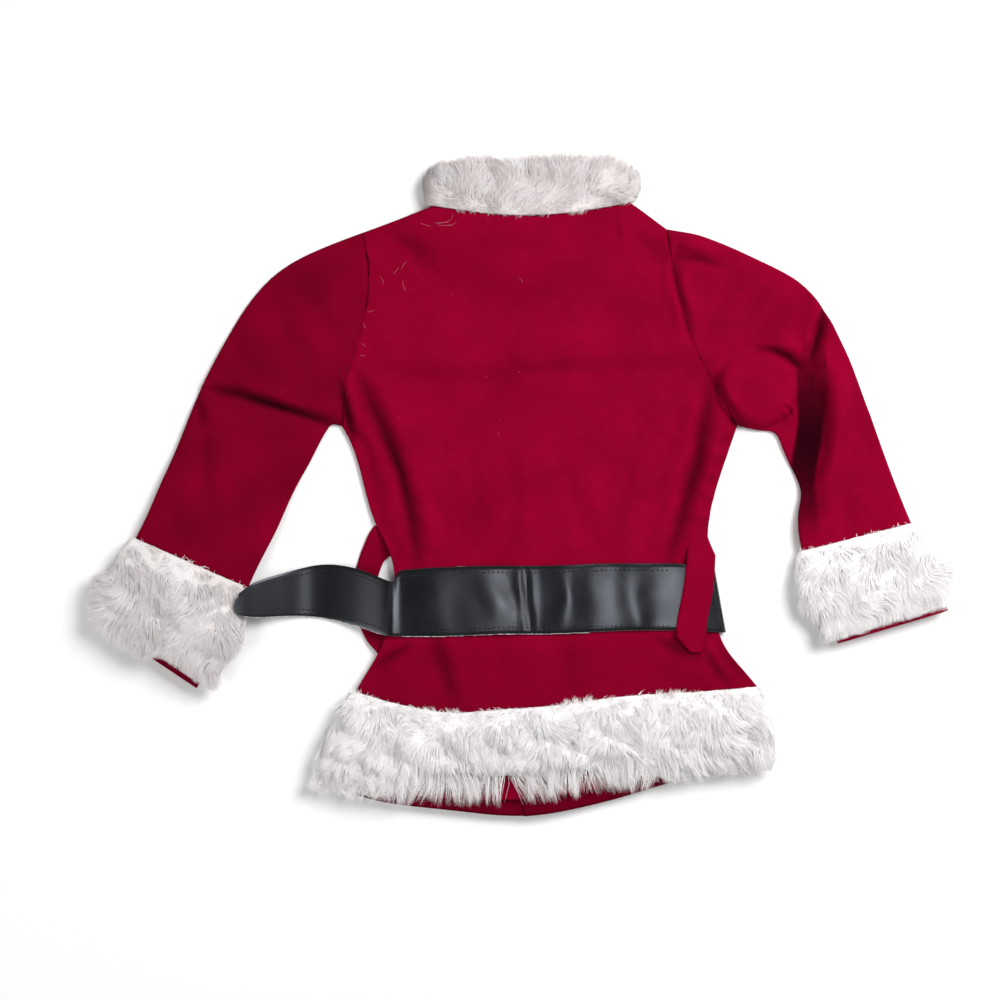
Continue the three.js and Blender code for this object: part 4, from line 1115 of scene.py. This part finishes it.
def tube_along(bm, line, radius, sides=6):
    """A closed tube through points in millimetres."""
    rings = []
    for k, p in enumerate(line):
        way = (line[min(k + 1, len(line) - 1)] - line[max(k - 1, 0)]).normalized()
        aside = way.cross(Vector((0, 0, 1))).normalized()
        over = aside.cross(way)
        ring = []
        for s in range(sides):
            turn = math.tau * s / sides
            offset = radius * (aside * math.cos(turn) + over * math.sin(turn))
            ring.append(bm.verts.new((p + offset) * MM))
        rings.append(ring)
    for a, b in zip(rings, rings[1:]):
        for s in range(sides):
            bm.faces.new((a[s], a[(s + 1) % sides], b[(s + 1) % sides], b[s]))
    bm.faces.new(list(reversed(rings[0])))
    bm.faces.new(rings[-1])


def belt_edge_highlight(strap):
    """A painted highlight along the strap's long sides, as thin pale beads."""
    tree = tree_of(strap.data)
    bm = bmesh.new()
    tongue = np.arange(-240.0, -118.0, 3.0)
    run = np.arange(-106.0, 124.0, 3.0)
    for places, lower in ((tongue, True), (run, True), (run, False)):
        line = stitch_line(tree, places, 0.35, lower)
        aside = Vector((0, -0.45, -0.5)) if lower else Vector((0, 0.1, -0.5))
        tube_along(bm, [p + aside for p in line], 0.46 if lower else 0.26)
    bmesh.ops.recalc_face_normals(bm, faces=bm.faces)
    return piece_from(bm, "belt_edge_highlight", edge_highlight, "belt_leather")


# Where fine hairs and specks of lint lie on the velvet: the middle, how far they scatter and how many.
LINT = [
    dict(at=(-72, 224), scatter=(9, 6), count=6, long=12.0),
    dict(at=(-139, 150), scatter=(4, 34), count=9, long=6.0),
    dict(at=(-112, 185), scatter=(14, 16), count=4, long=8.0),
    dict(at=(-5, 177), scatter=(1, 1), count=2, long=2.0),
    dict(at=(20, 120), scatter=(90, 60), count=7, long=1.6),
]
LINT_SEED = 411


def lint(cloth):
    """Fine pale hairs lying on the cloth, each a narrow ribbon of three cells."""
    rng = np.random.default_rng(LINT_SEED)
    tree = tree_of(cloth.data)
    bm = bmesh.new()
    for zone in LINT:
        for _ in range(zone["count"]):
            x, y = rng.normal(zone["at"], np.array(zone["scatter"]) * 0.6)
            turn, bend = rng.uniform(0, math.tau), rng.normal(0, 0.25)
            length = zone["long"] * rng.uniform(0.5, 1.1)
            rows = []
            for k in range(4):
                z = top_of(tree, x, y)
                if z is None:
                    break
                side = Vector((-math.sin(turn), math.cos(turn), 0)) * 0.07
                middle = Vector((x, y, z + 0.25))
                rows.append([bm.verts.new((middle - side) * MM), bm.verts.new((middle + side) * MM)])
                x, y = x + math.cos(turn) * length / 3, y + math.sin(turn) * length / 3
                turn += bend
            for a, b in zip(rows, rows[1:]):
                bm.faces.new((a[0], b[0], b[1], a[1]))
    loose = [v for v in bm.verts if not v.link_faces]
    bmesh.ops.delete(bm, geom=loose, context="VERTS")
    return piece_from(bm, "lint", lint_finish, "fur", soft=False)


# ---------- Build ----------

back = drape_back()
sleeves = {side: drape_sleeve(side) for side in ("left", "right")}
fronts = {side: plain_velvet(f"front_{side}_panel") for side in ("left", "right")}
# The left loop's darker tone is partly painted shade, as on the left sleeve.
loops = {side: plain_velvet(f"belt_loop_{side}", tone) for side, tone in (("left", 0.3), ("right", 0.05))}

belt = belt_strap()
lint(back)
belt_stitches(belt)
belt_edge_highlight(belt)
for node in ("belt_buckle_frame", "belt_buckle_bar"):
    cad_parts[node].data.materials.clear()
    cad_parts[node].data.materials.append(metal)

skins, piles = {}, {}
skin = skins["hem_fur_back"] = fur_skin("hem_fur_back", shrink=2.6, seed=21, lumps=1.7, sewn=(0.0, 1.0))
piles["hem_fur_back"] = fur_strands(
    "hem_fur_back_pile", skin, seed=101, count=56000, tufts=700, length=16.0, width=0.45,
    nap_field=hem_nap, keep=hem_roots, reach=hem_reach, flatten=0.3,
)
fur_strands(
    "hem_fur_back_fringe", skin, seed=102, count=3600, tufts=230, length=30.0, width=0.36,
    nap_field=fringe_nap, keep=fringe_roots, stand=0.12, gather=0.92, reach=fringe_reach, flatten=0.9,
)
for side, seed in (("left", 111), ("right", 121)):
    node = f"hem_fur_front_{side}"
    skin = skins[node] = fur_skin(node, shrink=1.5, seed=seed)
    piles[node] = fur_strands(
        node + "_pile", skin, seed=seed + 1, count=10000, tufts=420, length=12.0, width=0.6,
        nap_field=hem_nap, keep=under_side, stand=0.15, reach=front_reach(node),
    )
for side, seed in (("left", 131), ("right", 141)):
    node = f"cuff_fur_{side}"
    painted_fur_shade = left_cuff_painted_shade if side == "left" else None
    skin = skins[node] = fur_skin(node, shrink=2.8, seed=seed, lumps=1.6, sewn=CUFFS[side]["sewn"], painted_fur_shade=painted_fur_shade)
    piles[node] = fur_strands(
        node + "_pile", skin, seed=seed + 1, count=32000, tufts=360, length=18.0, width=0.45,
        nap_field=cuff_nap(side), keep=cuff_roots(side), reach=cuff_reach(side), flatten=0.8, painted_fur_shade=painted_fur_shade,
    )
skin = skins["collar_fur"] = fur_skin(
    "collar_fur", shrink=2.0, seed=151, lumps=0.9, sewn=(0.0, -1.0), painted_fur_shade=collar_painted_shade,
)
piles["collar_fur"] = fur_strands(
    "collar_fur_pile", skin, seed=152, count=32000, tufts=420, length=13.0, width=0.42,
    nap_field=collar_nap, keep=collar_roots, stand=0.34, painted_fur_shade=collar_painted_shade,
)

# ---------- Cut sizes ----------

# Each fur trim's flat size before it was sewn, width and length in metres, and its area, because no cut
# is a rectangle. Cuffs are measured all round. The fur trims' numbers were brought nearer to
# the modelled skins after those had been measured.
FUR_CUTS = [
    dict(node="hem_fur_back", flat=(0.394, 0.085), area=0.0290),
    dict(node="hem_fur_front_left", flat=(0.210, 0.090), area=0.0165),
    dict(node="hem_fur_front_right", flat=(0.165, 0.090), area=0.013),
    dict(node="cuff_fur_left", flat=(0.225, 0.090), area=0.0195),
    dict(node="cuff_fur_right", flat=(0.225, 0.090), area=0.0185),
    dict(node="collar_fur", flat=(0.360, 0.046), area=0.0150),
]
for cut in FUR_CUTS:
    skin, pile = skins[cut["node"]], piles[cut["node"]]


# ---------- Floor, light and camera ----------

WORLD_LIGHT = 0.18


def make_floor():
    bpy.ops.mesh.primitive_plane_add(size=12.0, location=(0, 0, -0.0002))
    floor = bpy.context.object
    floor.name = "floor"
    floor.data.materials.append(floor_material())


def area_light(name, place, towards, size, power):
    data = bpy.data.lights.new(name, "AREA")
    data.size = size
    data.energy = power
    lamp = bpy.data.objects.new(name, data)
    lamp.location = place
    lamp.rotation_mode = "QUATERNION"
    lamp.rotation_quaternion = (Vector(towards) - Vector(place)).to_track_quat("-Z", "Y")
    scene.collection.objects.link(lamp)


def make_world():
    world = bpy.data.worlds.new("studio")
    world.use_nodes = True
    background = world.node_tree.nodes["Background"]
    background.inputs["Color"].default_value = (1, 1, 1, 1)
    background.inputs["Strength"].default_value = WORLD_LIGHT
    scene.world = world


def make_camera():
    """Straight above the middle of the view, which is 850 mm wide at the garment's height."""
    view_width = 0.85
    middle = (-0.0226, -0.0107)
    garment_top = 0.012
    lens, sensor = 85.0, 36.0
    height = view_width * lens / sensor
    data = bpy.data.cameras.new("camera")
    data.lens = lens
    data.sensor_width = sensor
    camera = bpy.data.objects.new("camera", data)
    camera.location = (*middle, garment_top + height)
    scene.collection.objects.link(camera)
    scene.camera = camera


make_floor()
make_world()
area_light("key", place=(0.95, 0.72, 1.35), towards=(0.05, 0, 0), size=1.0, power=39.0)
area_light("fill", place=(-1.5, -0.75, 1.35), towards=(0, 0, 0), size=1.2, power=18.0)
area_light("softbox", place=(0.23, -0.18, 2.05), towards=(0.05, -0.09, 0), size=0.22, power=2.4)
make_camera()
